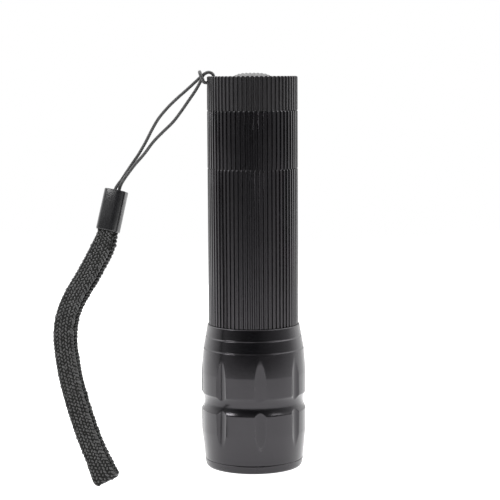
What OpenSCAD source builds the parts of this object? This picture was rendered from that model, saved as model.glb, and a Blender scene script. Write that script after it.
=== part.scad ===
// Zoom flashlight with a wrist lanyard, standing on its bezel with the tail switch up.
// Millimetres. The origin is the middle of the bezel's face and +Z runs to the tail.

/* [Head] */
// Largest diameter of the zoom head
head_d = 31.6; // [31:0.1:34]
// How far the head's front edge stands in from its largest radius
seam_inset = 0.85; // [0.5:0.05:1.4]
// How far the head's rear rim stands in from its largest radius
rim_inset = 1.9; // [1.3:0.05:2.2]
// Length of the front taper
front_taper_len = 8.6; // [6:0.1:10]
// Length of the fluted land below the waist
lower_land_len = 6.6; // [5:0.1:8]
// Width of the waist
waist_w = 5; // [3:0.1:6]
// Depth of the waist
waist_depth = 0.8; // [0.4:0.05:1.1]
// Length of the fluted land above the waist
upper_land_len = 6.1; // [4:0.1:7]
// Drop of the rear taper at its start, per length
taper_slope = 0.06; // [0:0.01:0.1]
// Number of flutes
flute_n = 8; // [6:1:12]
// Depth of a flute
flute_depth = 0.4; // [0.3:0.05:0.7]
// Diameter of the flute cutter
flute_cutter_d = 11.2; // [8:0.1:13]
// Turn of the flutes from the front, in degrees
flute_turn = 7; // [0:1:44]
// Width of a ring line
ring_line_w = 0.45; // [0.3:0.05:0.8]
// Depth of a ring line
ring_line_depth = 0.25; // [0.1:0.05:0.4]
// Distance of the first ring line from the rim
ring_line_inset = 3.3; // [2:0.1:4]
// Distance between the ring lines
ring_line_pitch = 3.6; // [2:0.1:4.5]

/* [Bezel and lens] */
// Height of the bezel ring that shows
bezel_h = 2.4; // [1.8:0.1:3.5]
// How far the bezel's face stands in from its outside
bezel_face_inset = 0.65; // [0.45:0.05:1.15]
// Length of the bezel's threaded spigot
bezel_spigot_len = 6; // [4:0.1:8]
// Thickness of the lens gasket
gasket_t = 1; // [0.6:0.1:1.5]
// Wall of the head around the lens, at its largest radius
lens_wall = 2.8; // [2.6:0.05:3]
// Width of the lens rim that the bezel clamps
lens_ledge = 1.7; // [1.3:0.05:3]
// Thickness of the lens at its rim
lens_rim_t = 2; // [1.5:0.1:3]
// Height of the lens dome
lens_dome_h = 7; // [5:0.1:7.5]

/* [Zoom slide] */
// Travel of the head from flood to spot
zoom_travel = 9.5; // [6:0.1:10]
// Length of the head's rear guide bore
guide_len = 16; // [15:0.1:18]
// Wall of the head around the barrel's neck, at its largest radius
neck_cover = 3.8; // [3.7:0.05:4]
// Running clearance of the neck in the guide bore, per side
slide_gap = 0.08; // [0.04:0.01:0.1]
// Section of a neck ring as it sits in its groove
neck_ring_cs = 1.3; // [1:0.05:1.5]
// Distance between the two neck rings
neck_ring_pitch = 2.6; // [2.2:0.1:3]

/* [Light source] */
// Air between the emitter's dome and the lens in flood
led_gap = 0.6; // [0.4:0.1:2]
// Diameter of the emitter's clear dome
led_dome_d = 2.6; // [2:0.1:3.2]
// Side of the emitter's square base
led_base_w = 3.5; // [3.4:0.1:5]
// Height of the emitter's base
led_base_h = 0.8; // [0.5:0.1:1.2]
// Diameter of the LED board
led_board_d = 16; // [14:0.1:20]
// Thickness of the LED board
led_board_t = 1.5; // [1:0.1:2]
// Thickness of the heat sink's flange
flange_t = 2; // [1.5:0.1:3]
// Wall of the neck around the heat sink's threaded body
neck_wall = 2.25; // [2:0.05:2.75]
// Length of the heat sink's body behind the flange
pill_len = 22.5; // [20:0.1:26]
// Depth of the driver cavity
driver_cavity_len = 11.5; // [8:0.1:14]
// Thickness of the driver board
driver_board_t = 1.6; // [1:0.1:2]
// Distance between the two leads
lead_pitch = 11; // [10:0.1:13]
// Diameter of a lead
lead_d = 1; // [0.6:0.1:1.2]
// Height of the driver spring, pressed
driver_spring_h = 4.9; // [4:0.1:7]

/* [Barrel] */
// Diameter over the ribs of barrel, collar and cap
barrel_d = 27; // [26.6:0.1:28]
// Depth of the ribs
rib_depth = 0.45; // [0.3:0.05:0.6]
// Ribs around the barrel
barrel_rib_n = 62; // [40:1:72]
// Ribs around the collar
collar_rib_n = 57; // [40:1:72]
// Ribs around the cap
cap_rib_n = 62; // [40:1:72]
// Length of the barrel's thread in the collar
tail_thread_len = 8; // [7:0.1:10]
// Diameter of the barrel's thread in the collar
tail_thread_d = 24.4; // [24:0.1:24.6]
// Section of the tail ring as it sits in its groove
tail_ring_cs = 0.7; // [0.5:0.05:0.8]

/* [Battery cartridge] */
// Diameter of an AAA cell
cell_d = 10; // [9.6:0.05:10.1]
// Length of an AAA cell over its button
cell_len = 44.5; // [43.5:0.1:44.5]
// Thickness of the cartridge's end plates
plate_t = 2.6; // [2:0.1:3.5]
// Height of a cell spring, pressed
cell_spring_h = 2.2; // [1.8:0.1:3.5]
// Distance of the cartridge's end inside the barrel's mouth
cart_inset = 0.5; // [0.3:0.1:1.5]

/* [Tail] */
// Length of the collar
collar_len = 17.2; // [15:0.1:20]
// Length of the cap
cap_len = 10.1; // [9:0.1:12]
// Height of the tail spring, pressed
tail_spring_h = 5; // [4:0.1:6]
// Thickness of the switch board
switch_board_t = 1.6; // [1:0.1:2]
// Diameter of the pocket for the switch board
switch_pocket_d = 20.8; // [20:0.1:21.6]
// Thickness of the switch retainer
retainer_t = 2; // [1:0.1:2.5]
// Side of the square switch
switch_w = 8.4; // [7:0.1:9]
// Height of the switch
switch_h = 6; // [5:0.1:6.5]
// Diameter of the collar's spigot in the cap
cap_thread_d = 21.6; // [21:0.1:22.4]
// Length of the collar's spigot in the cap
cap_thread_len = 4; // [3:0.1:5]
// Thickness of the boot's flange
boot_flange_t = 1; // [0.6:0.1:1.5]
// Thickness of the cap's web over the boot's flange
cap_web_t = 1.4; // [1:0.1:2]
// Diameter of the recess in the cap
recess_d = 24.6; // [23:0.1:24.8]
// Diameter of the switch boot
boot_d = 12.8; // [11:0.1:14]
// Wall of the switch boot
boot_wall = 1.2; // [0.8:0.1:1.6]
// Height of the boot above the cap's rim
boot_rise = 1; // [0.2:0.1:1.5]
// Height of the boot's rounded crown
boot_crown_h = 4.1; // [3:0.1:4.4]
// Travel of the button
press_travel = 1.5; // [1:0.1:1.8]
// Diameter of the plunger's head
plunger_d = 7.2; // [5:0.1:8]
// Diameter of the plunger's stem
stem_d = 3.2; // [2:0.1:3.6]
// Diameter of the lanyard hole
lanyard_hole_d = 2.6; // [2.4:0.1:2.7]
// Distance of the lanyard hole's middle below the rim
lanyard_hole_inset = 1.9; // [1.8:0.1:2]

/* [Lanyard] */
// Diameter of the cord
cord_d = 1.04; // [0.8:0.02:1.06]
// Width of the strap
strap_w = 6.8; // [5.5:0.1:7.2]
// Width of the strap in the sleeve
strap_pinch_w = 5.3; // [4.5:0.1:5.6]
// Width of the strap at its fold
strap_fold_w = 8; // [6.8:0.1:8.4]
// Thickness of the strap
strap_t = 1.8; // [1.2:0.1:2]
// Distance between the strap's two layers, middle to middle
strap_layers = 2.4; // [2.3:0.1:2.8]
// Width of the sleeve
sleeve_w = 6.7; // [6.4:0.1:8]
// Depth of the sleeve
sleeve_t = 5.6; // [5.3:0.1:7]
// Length of the sleeve
sleeve_len = 12.2; // [10:0.1:14]
// Depth of the strap's pocket in the sleeve
sleeve_pocket_len = 5; // [4.6:0.1:6]

/* [Hidden] */
$fn = 64;

// Clearances and small edges
thread_gap = 0.06;      // screwed fits, per side
seat_gap = 0.05;        // rings and springs in their seats
part_gap = 0.1;         // plain drop-in fits, per side
ring_gap = 0.03;        // rubber rings in the bores they slide in
air_gap = 0.2;          // air beside a moving face
sleeve_gap = 0.3;       // cord and strap in the sleeve
edge = 0.3;             // broken edges
seam_edge = 0.2;        // broken edges at the bezel seam
stop_w = 0.42;          // shoulder in the head that the heat sink's flange meets
cut = 1;                // overrun of a cut past a face

// Radii that several pieces share
head_r = head_d / 2;
seam_r = head_r - seam_inset;
rim_r = head_r - rim_inset;
neck_r = head_r - neck_cover;
guide_r = neck_r + slide_gap;
lens_r = head_r - lens_wall;
lens_bore_r = lens_r + part_gap;
chamber_r = guide_r + stop_w;
flange_r = chamber_r - part_gap;
aperture_r = lens_r - lens_ledge;
barrel_r = barrel_d / 2;
pill_r = neck_r - neck_wall;
pill_bore_r = pill_r + thread_gap;
tail_thread_r = tail_thread_d / 2;
collar_bore_r = tail_thread_r + thread_gap;
cap_bore_r = cap_thread_d / 2 + thread_gap;
switch_pocket_r = switch_pocket_d / 2;
recess_r = recess_d / 2;
boot_r = boot_d / 2;

// Heights from the bezel's face up to the head's rear rim
z_gasket = bezel_h + bezel_spigot_len;
z_lens_rim = z_gasket + gasket_t;
z_seat = z_lens_rim + lens_rim_t;
z_led_base = z_seat + led_gap + led_dome_d / 2;
z_led_board = z_led_base + led_base_h;
z_flange = z_led_board + led_board_t;
z_neck = z_flange + flange_t;
z_step = z_neck + zoom_travel;
z_rim = z_step + guide_len;
z_kink = bezel_h + front_taper_len;
z_waist = z_kink + lower_land_len + waist_w / 2;
z_shoulder = z_waist + waist_w / 2 + upper_land_len;
rear_taper_len = z_rim - z_shoulder;

// Heights along the barrel and the battery cartridge
z_pill_end = z_neck + pill_len;
z_driver = z_pill_end - driver_board_t;
z_cart = z_pill_end + driver_spring_h;
contact_t = 0.3;
nub_h = 0.8;
nub_d = 3.8;
z_front_plate = z_cart + plate_t;
z_cells = z_front_plate + contact_t;
z_rear_plate = z_cells + cell_len + cell_spring_h + contact_t;
z_cart_end = z_rear_plate + plate_t;
z_barrel_end = z_cart_end + cart_inset;
z_collar = z_barrel_end - tail_thread_len;

// The cells stand in a ring of three
cell_n = 3;
cell_gap = 0.08;
cell_ring_r = (cell_d + cell_gap) / 2 / sin(180 / cell_n);
cart_r = cell_ring_r + cell_d / 2;
battery_bore_r = cart_r + part_gap;
rail_r = 1.6;
rail_ring_r = cart_r - rail_r - part_gap;
screw_d = 1.8;
screw_len = 6;
screw_tip_gap = 0.5;
screw_head_d = 3;
screw_head_h = 1;
contact_stem_d = 3;
contact_disc_d = 7;
contact_disc_t = 0.6;
contact_strip_w = 2.4;
contact_pad_d = 6.4;

// Heights in the tail
z_switch_board = z_cart_end + tail_spring_h;
z_ledge = z_switch_board + switch_board_t;
z_switch_top = z_ledge + switch_h;
z_cap = z_collar + collar_len;
z_boot_flange = z_cap + cap_thread_len;
z_cap_web = z_boot_flange + boot_flange_t;
z_recess = z_cap_web + cap_web_t;
z_top = z_cap + cap_len;
z_boot_top = z_top + boot_rise;
z_boot_crown = z_boot_top - boot_crown_h;
z_plunger_top = z_boot_top - boot_wall - air_gap;
plunger_head_h = 3.7;
z_plunger_head = z_plunger_top - plunger_head_h;
stem_hold = 3.2;
switch_well_d = 15;
lead_hole_gap = 0.3;
lead_hole_d = lead_d + 2 * lead_hole_gap;

// Rings: a neck ring's middle, and the tail ring's
neck_ring_r = guide_r - ring_gap - neck_ring_cs / 2;
z_neck_ring = z_step + neck_ring_cs + part_gap;
tail_ring_r = collar_bore_r - ring_gap - tail_ring_cs / 2;
tail_ring_inset = 0.9;
z_tail_ring = z_collar + tail_ring_cs + tail_ring_inset;

// Route of the cord: up from the sleeve, over the rim, out through the hole, round both
// strands as a bight, and the same way back
cord_route = [
    [-41.2, -9.9, 80], [-40.4, -9.2, 84.4], [-38.6, -7.6, 87.2], [-35.8, -6.6, 91.4],
    [-33.6, -5.9, 94.6], [-31.5, -5.2, 98.2], [-29.7, -4.4, 101.7], [-27.8, -3.6, 104.9],
    [-25.4, -2.7, 107.8], [-22.8, -1.5, 110.4], [-19.4, -0.1, 113.4], [-17.1, 0.5, 115.5],
    [-15.7, 0.55, 116.8], [-14.8, 0.55, 117.6], [-13.9, 0.55, 118.2], [-12.9, 0.6, 118.5],
    [-12, 0.6, 118.2], [-11.5, 0.6, 117.5], [-11.4, 0.6, 116.6], [-11.7, 0.6, 115.9],
    [-12.4, 0.6, 115.5], [-13.5, 0.65, 115.4], [-14.4, 1.25, 115.6], [-14.75, 1.68, 116.5],
    [-15.25, 1.7, 117.5], [-15.55, 1.1, 118.4], [-15.6, 0, 118.65], [-15.55, -1.1, 118.4],
    [-15.25, -1.7, 117.5], [-14.75, -1.68, 116.5], [-14.4, -1.25, 115.6], [-13.5, -0.65, 115.4],
    [-12.4, -0.6, 115.5], [-11.7, -0.6, 115.9], [-11.4, -0.6, 116.6], [-11.5, -0.6, 117.5],
    [-12, -0.6, 118.2], [-12.9, -0.6, 118.5], [-13.9, -0.55, 118.2], [-14.6, -0.55, 117.5],
    [-15.05, -0.55, 116.6], [-15.6, -0.65, 115.3], [-17, -1.1, 112.9], [-19, -2, 110],
    [-21.1, -2.8, 107], [-23.5, -3.8, 103.9], [-26.7, -5, 100.8], [-29.4, -6.1, 98],
    [-31.9, -7, 94.7], [-34.7, -7.9, 91.5], [-37.2, -9.1, 88.2], [-38.6, -9.6, 86],
    [-39.2, -9.2, 84.4], [-39.95, -9.9, 80]
];

// Sleeve: middle of its top and of its foot
sleeve_top = [-40, -9.2, 84.2];
sleeve_foot = [-42.6, -11.2, 72.4];

// Middle line between the strap's two layers, from the sleeve to the fold on the ground
strap_route = [
    [-41.75, -10.55, 76.3], [-42.6, -11.2, 72.4], [-43.9, -12.2, 68], [-46.4, -13.5, 63],
    [-49.1, -14.8, 58.2], [-51.8, -16, 53.8], [-53.8, -17.2, 49.2], [-54.7, -18.3, 44.4],
    [-54.4, -19.7, 38.4], [-53, -21.6, 30.8], [-50.7, -23.6, 22.8], [-48.1, -25.4, 15.4],
    [-45.4, -27.1, 9.1], [-42.8, -28.7, 3.44]
];
// The strap's face looks this far left of the viewer, in degrees
strap_turn = 20;
strap_across = [cos(strap_turn), -sin(strap_turn), 0];
strap_fold_steps = 4;
sides = 8;

// Vector helpers
function unit(v) = v / norm(v);
function square_to(v, axis) = unit(v - (v * axis) * axis);
function heading(path, i) = unit(path[min(i + 1, len(path) - 1)] - path[max(i - 1, 0)]);

// Triangles of a tube of rings of n points, with both ends closed
function tube_faces(rings, n) = concat(
    [for (i = [0:rings - 2]) for (j = [0:n - 1])
        [i * n + j, (i + 1) * n + j, i * n + (j + 1) % n]],
    [for (i = [0:rings - 2]) for (j = [0:n - 1])
        [i * n + (j + 1) % n, (i + 1) * n + j, (i + 1) * n + (j + 1) % n]],
    [for (j = [1:n - 2]) [0, j, j + 1]],
    [for (j = [1:n - 2]) [(rings - 1) * n, (rings - 1) * n + j + 1, (rings - 1) * n + j]]
);

// Ring about the axis, from one radius and height to another
module ring(r_in, r_out, z0, z1) {
    rotate_extrude()
        translate([r_in, z0])
            square([r_out - r_in, z1 - z0]);
}

// Cylinder between two heights
module rod(r, z0, z1) {
    translate([0, 0, z0])
        cylinder(r = r, h = z1 - z0);
}

// Rubber ring of round section
module rubber_ring(ring_r, section, z) {
    rotate_extrude()
        translate([ring_r, z])
            circle(d = section);
}

// Groove that a rubber ring sits in
module ring_groove(ring_r, section, z) {
    half = section / 2 + seat_gap;
    ring(ring_r - half, barrel_r + cut, z - half, z + half);
}

// Compression spring standing on its seat, with its radius going from foot_r to tip_r
module coil(foot_r, tip_r, wire, height, turns) {
    turn_steps = 10;
    steps = turn_steps * turns;
    wire_sides = 6;
    rise = height - wire - 2 * seat_gap;
    points = [for (i = [0:steps]) for (j = [0:wire_sides - 1])
        let (t = i / steps, a = 360 * turns * t, b = 360 * j / wire_sides,
            r = foot_r + (tip_r - foot_r) * t + wire / 2 * cos(b))
        [r * cos(a), r * sin(a), seat_gap + wire / 2 + rise * t + wire / 2 * sin(b)]];
    polyhedron(points, tube_faces(steps + 1, wire_sides));
}

// Outline with straight ribs all round: a narrow land, a flank, a narrow valley. A land ends
// and a flank ends at these shares of the pitch from the rib's middle.
rib_land = 0.16;
rib_foot = 0.42;
function rib_outline(count) = [
    for (i = [0:count - 1])
        for (p = [[-rib_land, 0], [rib_land, 0], [rib_foot, rib_depth], [1 - rib_foot, rib_depth]])
            let (a = 360 * (i + p[0]) / count, r = barrel_r - p[1])
            [r * cos(a), r * sin(a)]
];

// Ribbed cylinder with both ends bevelled to just below the rib valleys
rib_bevel_extra = 0.15;
rib_bevel = rib_depth + rib_bevel_extra;
module ribbed_blank(count, z0, z1) {
    intersection() {
        translate([0, 0, z0])
            linear_extrude(z1 - z0)
                polygon(rib_outline(count));
        rotate_extrude()
            polygon([
                [0, z0], [barrel_r - rib_bevel, z0], [barrel_r + cut, z0 + rib_bevel + cut],
                [barrel_r + cut, z1 - rib_bevel - cut], [barrel_r - rib_bevel, z1], [0, z1]
            ]);
    }
}

// Rear taper of the head: it starts at a slight slope and bends in evenly to the rim
taper_steps = 6;
taper_bend = (head_r - rim_r - taper_slope * rear_taper_len) / pow(rear_taper_len, 2);
function taper_r(t) = head_r - taper_slope * t - taper_bend * t * t;

module head_blank() {
    rotate_extrude()
        polygon(concat(
            [[0, bezel_h], [seam_r - seam_edge, bezel_h]],
            [[seam_r, bezel_h + seam_edge], [head_r, z_kink]],
            [for (i = [0:taper_steps - 1]) let (t = (rear_taper_len - edge) * i / (taper_steps - 1))
                [taper_r(t), z_shoulder + t]],
            [[rim_r - edge, z_rim], [0, z_rim]]
        ));
}

module waist_cut() {
    waist_r = (pow(waist_w / 2, 2) + pow(waist_depth, 2)) / (2 * waist_depth);
    rotate_extrude()
        translate([head_r - waist_depth + waist_r, z_waist])
            circle(r = waist_r);
}

module flute_cuts() {
    for (i = [0:flute_n - 1])
        rotate(flute_turn - 90 + 360 * i / flute_n)
            translate([head_r - flute_depth + flute_cutter_d / 2, 0, bezel_h - cut])
                cylinder(d = flute_cutter_d, h = z_rim - bezel_h + 2 * cut);
}

module ring_line(inset) {
    line_r = taper_r(rear_taper_len - inset) - ring_line_depth;
    z = z_rim - inset;
    ring(line_r, head_r + cut, z - ring_line_w / 2, z + ring_line_w / 2);
}

module head_shell() {
    color("#1b1b1d")
        difference() {
            head_blank();
            waist_cut();
            flute_cuts();
            ring_line(ring_line_inset);
            ring_line(ring_line_inset + ring_line_pitch);
            rod(lens_bore_r, bezel_h - cut, z_seat);
            rod(chamber_r, z_seat - cut, z_step);
            rod(guide_r, z_step - cut, z_rim + cut);
        }
}

module bezel_ring() {
    face_edge = 0.6;
    color("#242426")
        rotate_extrude()
            polygon([
                [aperture_r + edge, 0], [seam_r - bezel_face_inset, 0], [seam_r - edge, face_edge],
                [seam_r, bezel_h - seam_edge], [seam_r - seam_edge, bezel_h],
                [lens_bore_r - thread_gap, bezel_h], [lens_bore_r - thread_gap, z_gasket],
                [aperture_r, z_gasket], [aperture_r, edge]
            ]);
}

module lens_gasket() {
    color("#111111")
        ring(aperture_r, lens_bore_r - thread_gap, z_gasket, z_lens_rim);
}

module lens() {
    dome_r = aperture_r - part_gap;
    ball_r = (pow(dome_r, 2) + pow(lens_dome_h, 2)) / (2 * lens_dome_h);
    color("lightblue", 0.5) {
        rod(lens_r, z_lens_rim, z_seat);
        intersection() {
            translate([0, 0, z_lens_rim - lens_dome_h + ball_r])
                sphere(r = ball_r);
            rod(dome_r, z_lens_rim - lens_dome_h - cut, z_seat);
        }
    }
}

module neck_o_ring_front() {
    color("#151515")
        rubber_ring(neck_ring_r, neck_ring_cs, z_neck_ring);
}

module neck_o_ring_rear() {
    color("#151515")
        rubber_ring(neck_ring_r, neck_ring_cs, z_neck_ring + neck_ring_pitch);
}

module barrel() {
    color("#1b1b1d")
        difference() {
            union() {
                ribbed_blank(barrel_rib_n, z_rim, z_collar);
                rod(neck_r, z_neck, z_rim + cut);
                rod(tail_thread_r, z_collar - cut, z_barrel_end);
            }
            rod(pill_bore_r, z_neck - cut, z_cart + cut);
            rod(battery_bore_r, z_cart, z_barrel_end + cut);
            ring_groove(neck_ring_r, neck_ring_cs, z_neck_ring);
            ring_groove(neck_ring_r, neck_ring_cs, z_neck_ring + neck_ring_pitch);
            ring_groove(tail_ring_r, tail_ring_cs, z_tail_ring);
        }
}

// Each of the two leads stands on its own side of the axis
module at_leads() {
    for (side = [-1, 1])
        translate([side * lead_pitch / 2, 0, 0])
            children();
}

pill_wall = 1;
board_ledge = 0.6;
driver_board_r = pill_r - pill_wall;
driver_cavity_r = driver_board_r - board_ledge;

module led_pill() {
    color("#b8b8bc")
        difference() {
            union() {
                rod(flange_r, z_flange, z_neck);
                rod(pill_r, z_neck - cut, z_pill_end);
            }
            rod(driver_cavity_r, z_pill_end - driver_cavity_len, z_pill_end + cut);
            rod(driver_board_r + part_gap, z_driver, z_pill_end + cut);
            at_leads()
                rod(lead_hole_d / 2, z_flange - cut, z_pill_end);
        }
}

module led_board() {
    color("#e8e8e4")
        difference() {
            rod(led_board_d / 2, z_led_board, z_flange);
            at_leads()
                rod(lead_d / 2 + part_gap, z_led_board - cut, z_flange + cut);
        }
}

module led_emitter() {
    color("#e6d24a")
        translate([-led_base_w / 2, -led_base_w / 2, z_led_base])
            cube([led_base_w, led_base_w, led_base_h]);
}

module led_dome() {
    color("lightyellow", 0.6)
        difference() {
            translate([0, 0, z_led_base])
                sphere(d = led_dome_d);
            rod(led_dome_d, z_led_base, z_led_base + led_dome_d);
        }
}

module led_leads() {
    solder_d = 2.2;
    solder_h = 0.4;
    color("#b02020")
        at_leads() {
            rod(lead_d / 2, z_led_board - solder_h / 2, z_driver);
            rod(solder_d / 2, z_led_board - solder_h, z_led_board);
        }
}

module driver_board() {
    color("#1d5a34")
        rod(driver_board_r, z_driver, z_pill_end);
}

module driver_parts() {
    spacing = 1.1;
    can_d = 3.6;
    can_h = 2.5;
    can_y = driver_cavity_r - can_d / 2 - spacing;
    chip_w = 4;
    chip_len = 2 * (can_y - can_d / 2 - spacing);
    chip_h = 1.5;
    diode_w = 3.2;
    diode_len = 1.6;
    diode_h = 1.2;
    diode_y = spacing + diode_len - driver_cavity_r;
    color("#2a2a2a") {
        translate([-chip_w / 2, -chip_len / 2, z_driver - chip_h])
            cube([chip_w, chip_len, chip_h]);
        translate([0, can_y, z_driver - can_h])
            cylinder(d = can_d, h = can_h);
        translate([-diode_w / 2, diode_y, z_driver - diode_h])
            cube([diode_w, diode_len, diode_h]);
    }
}

module driver_spring() {
    foot_r = 3.6;
    tip_r = 2.4;
    wire = 0.6;
    turns = 4;
    color("#c9b36a")
        translate([0, 0, z_pill_end])
            coil(foot_r, tip_r, wire, driver_spring_h, turns);
}

// Angle of a cell's place, and of the rail after it
function cell_angle(k) = 90 + 360 * k / cell_n;
function rail_angle(k) = cell_angle(k) + 180 / cell_n;

module at_cell(k) {
    rotate(cell_angle(k))
        translate([cell_ring_r, 0, 0])
            rotate(-cell_angle(k))
                children();
}

module at_rails() {
    for (k = [0:cell_n - 1])
        rotate(rail_angle(k))
            translate([rail_ring_r, 0, 0])
                children();
}

// Front plate of the battery cartridge, moulded in one with its three rails
module cartridge_body() {
    color("#2b2b2e")
        difference() {
            union() {
                rod(cart_r, z_cart, z_front_plate);
                at_rails()
                    rod(rail_r, z_front_plate - cut, z_rear_plate);
            }
            rod(contact_stem_d / 2 + seat_gap, z_cart - cut, z_front_plate + cut);
            rod(contact_disc_d / 2 + seat_gap, z_cart - cut, z_cart + contact_disc_t);
            at_rails()
                rod(screw_d / 2 + seat_gap, z_cart_end - screw_len - screw_tip_gap, z_cart_end);
        }
}

module cartridge_end() {
    color("#2b2b2e")
        difference() {
            rod(cart_r, z_rear_plate, z_cart_end);
            rod(contact_stem_d / 2 + seat_gap, z_rear_plate - cut, z_cart_end + cut);
            rod(contact_disc_d / 2 + seat_gap, z_cart_end - contact_disc_t, z_cart_end + cut);
            at_rails() {
                rod(screw_d / 2 + seat_gap, z_rear_plate - cut, z_cart_end + cut);
                rod(screw_head_d / 2 + seat_gap, z_cart_end - screw_head_h, z_cart_end + cut);
            }
        }
}

module cartridge_screws() {
    slot_w = 0.5;
    slot_depth = 0.4;
    color("#c8c8cc")
        at_rails()
            difference() {
                union() {
                    rod(screw_d / 2, z_cart_end - screw_len, z_cart_end);
                    rod(screw_head_d / 2, z_cart_end - screw_head_h, z_cart_end);
                }
                translate([-screw_head_d, -slot_w / 2, z_cart_end - slot_depth])
                    cube([2 * screw_head_d, slot_w, slot_depth + cut]);
            }
}

// Contact pad under a cell's end
module contact_pad(k, z) {
    at_cell(k)
        rod(contact_pad_d / 2, z, z + contact_t);
}

// Contact riveted through the middle of a plate, with a strip out to one cell
module centre_contact(k, z_pad, z0, z1, z_disc) {
    rod(contact_stem_d / 2, z0, z1);
    rod(contact_disc_d / 2, z_disc, z_disc + contact_disc_t);
    contact_pad(k, z_pad);
    rotate(cell_angle(k))
        translate([0, -contact_strip_w / 2, z_pad])
            cube([cell_ring_r, contact_strip_w, contact_t]);
}

// Strip from one cell's end to its neighbour's
module cell_link(k, z) {
    link_len = 2 * cell_ring_r * sin(180 / cell_n);
    contact_pad(k, z);
    contact_pad(k + 1, z);
    rotate(rail_angle(k))
        translate([cell_ring_r * cos(180 / cell_n) - contact_strip_w / 2, -link_len / 2, z])
            cube([contact_strip_w, link_len, contact_t]);
}

module front_contact() {
    color("#c9b36a")
        centre_contact(0, z_front_plate, z_cart, z_cells, z_cart);
}

module front_link() {
    color("#c9b36a")
        cell_link(1, z_front_plate);
}

module rear_contact() {
    z_pad = z_rear_plate - contact_t;
    color("#c9b36a")
        centre_contact(2, z_pad, z_pad, z_cart_end, z_cart_end - contact_disc_t);
}

module rear_link() {
    color("#c9b36a")
        cell_link(0, z_rear_plate - contact_t);
}

// The middle cell stands the other way up, so its spring is at the front
module cell_springs() {
    spring_r = 2.4;
    wire = 0.5;
    turns = 1.5;
    color("#c9b36a") {
        at_cell(0)
            translate([0, 0, z_cells + cell_len])
                coil(spring_r, spring_r, wire, cell_spring_h, turns);
        at_cell(1)
            translate([0, 0, z_cells])
                coil(spring_r, spring_r, wire, cell_spring_h, turns);
        at_cell(2)
            translate([0, 0, z_cells + cell_len])
                coil(spring_r, spring_r, wire, cell_spring_h, turns);
    }
}

// AAA cell with its button to the front
module cell(k, z) {
    at_cell(k) {
        rod(nub_d / 2, z, z + nub_h + cut);
        rod(cell_d / 2, z + nub_h, z + cell_len);
    }
}

module aaa_cell_1() {
    color("#4a6a8a")
        cell(0, z_cells);
}

module aaa_cell_2() {
    color("#4a6a8a")
        at_cell(1) {
            rod(cell_d / 2, z_cells + cell_spring_h, z_cells + cell_spring_h + cell_len - nub_h);
            rod(nub_d / 2, z_cells + cell_spring_h + cut, z_cells + cell_spring_h + cell_len);
        }
}

module aaa_cell_3() {
    color("#4a6a8a")
        cell(2, z_cells);
}

module tail_o_ring() {
    color("#151515")
        rubber_ring(tail_ring_r, tail_ring_cs, z_tail_ring);
}

module tail_collar() {
    mouth_gap = 0.4;
    z_thread_end = z_barrel_end + mouth_gap;
    color("#151517")
        difference() {
            union() {
                ribbed_blank(collar_rib_n, z_collar, z_cap);
                rod(cap_thread_d / 2, z_cap - cut, z_boot_flange);
            }
            rod(collar_bore_r, z_collar - cut, z_thread_end);
            rod(switch_pocket_r, z_thread_end - cut, z_ledge);
            rod(switch_well_d / 2, z_ledge - cut, z_boot_flange + cut);
        }
}

module tail_cap() {
    color("#1f1f21")
        difference() {
            ribbed_blank(cap_rib_n, z_cap, z_top);
            rod(cap_bore_r, z_cap - cut, z_cap_web);
            rod(boot_r + part_gap, z_cap_web - cut, z_recess + cut);
            rod(recess_r, z_recess, z_top + cut);
            translate([-recess_r + cut, 0, z_top - lanyard_hole_inset])
                rotate([0, -90, 0])
                    cylinder(d = lanyard_hole_d, h = barrel_r - recess_r + 2 * cut);
        }
}

module tail_spring() {
    foot_r = 2.8;
    tip_r = 5;
    wire = 0.7;
    turns = 3.5;
    color("#c9b36a")
        translate([0, 0, z_cart_end])
            coil(foot_r, tip_r, wire, tail_spring_h, turns);
}

module switch_board() {
    color("#1d5a34")
        rod(switch_pocket_r - part_gap, z_switch_board, z_ledge);
}

module switch_retainer() {
    slot_w = 2;
    slot_depth = 1;
    retainer_w = 3.4;
    retainer_r = switch_pocket_r - thread_gap;
    z_retainer = z_switch_board - retainer_t;
    color("#a8a8ac")
        difference() {
            ring(retainer_r - retainer_w, retainer_r, z_retainer, z_switch_board);
            translate([-retainer_r - cut, -slot_w / 2, z_retainer - cut])
                cube([2 * retainer_r + 2 * cut, slot_w, slot_depth + cut]);
        }
}

module switch_body() {
    z_bore = z_switch_top - stem_hold - press_travel - air_gap;
    color("#101010")
        difference() {
            translate([-switch_w / 2, -switch_w / 2, z_ledge])
                cube([switch_w, switch_w, switch_h]);
            rod(stem_d / 2 + thread_gap, z_bore, z_switch_top + cut);
        }
}

// Quarter of a squared ellipse from the boot's side up to its middle
crown_step = 10;
crown_power = 0.6;
function crown(r, z, h) = [for (a = [0:crown_step:90])
    [r * pow(cos(a), crown_power), z + h * pow(sin(a), crown_power)]];

// The plunger's head is domed to follow the inside of the boot
module switch_plunger() {
    dome_h = z_plunger_top - z_boot_crown;
    dome = crown(boot_r - boot_wall - air_gap, z_boot_crown, dome_h);
    color("#d8d8d0") {
        rod(stem_d / 2, z_switch_top - stem_hold, z_plunger_head + cut);
        intersection() {
            rod(plunger_d / 2, z_plunger_head, z_plunger_top + cut);
            rotate_extrude()
                polygon(concat([[0, z_plunger_head], [dome[0][0], z_plunger_head]], dome));
        }
    }
}

module switch_spring() {
    wire = 0.4;
    turns = 2.5;
    spring_r = stem_d / 2 + wire + air_gap;
    color("#c8c8cc")
        translate([0, 0, z_switch_top])
            coil(spring_r, spring_r, wire, z_plunger_head - z_switch_top, turns);
}

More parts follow.
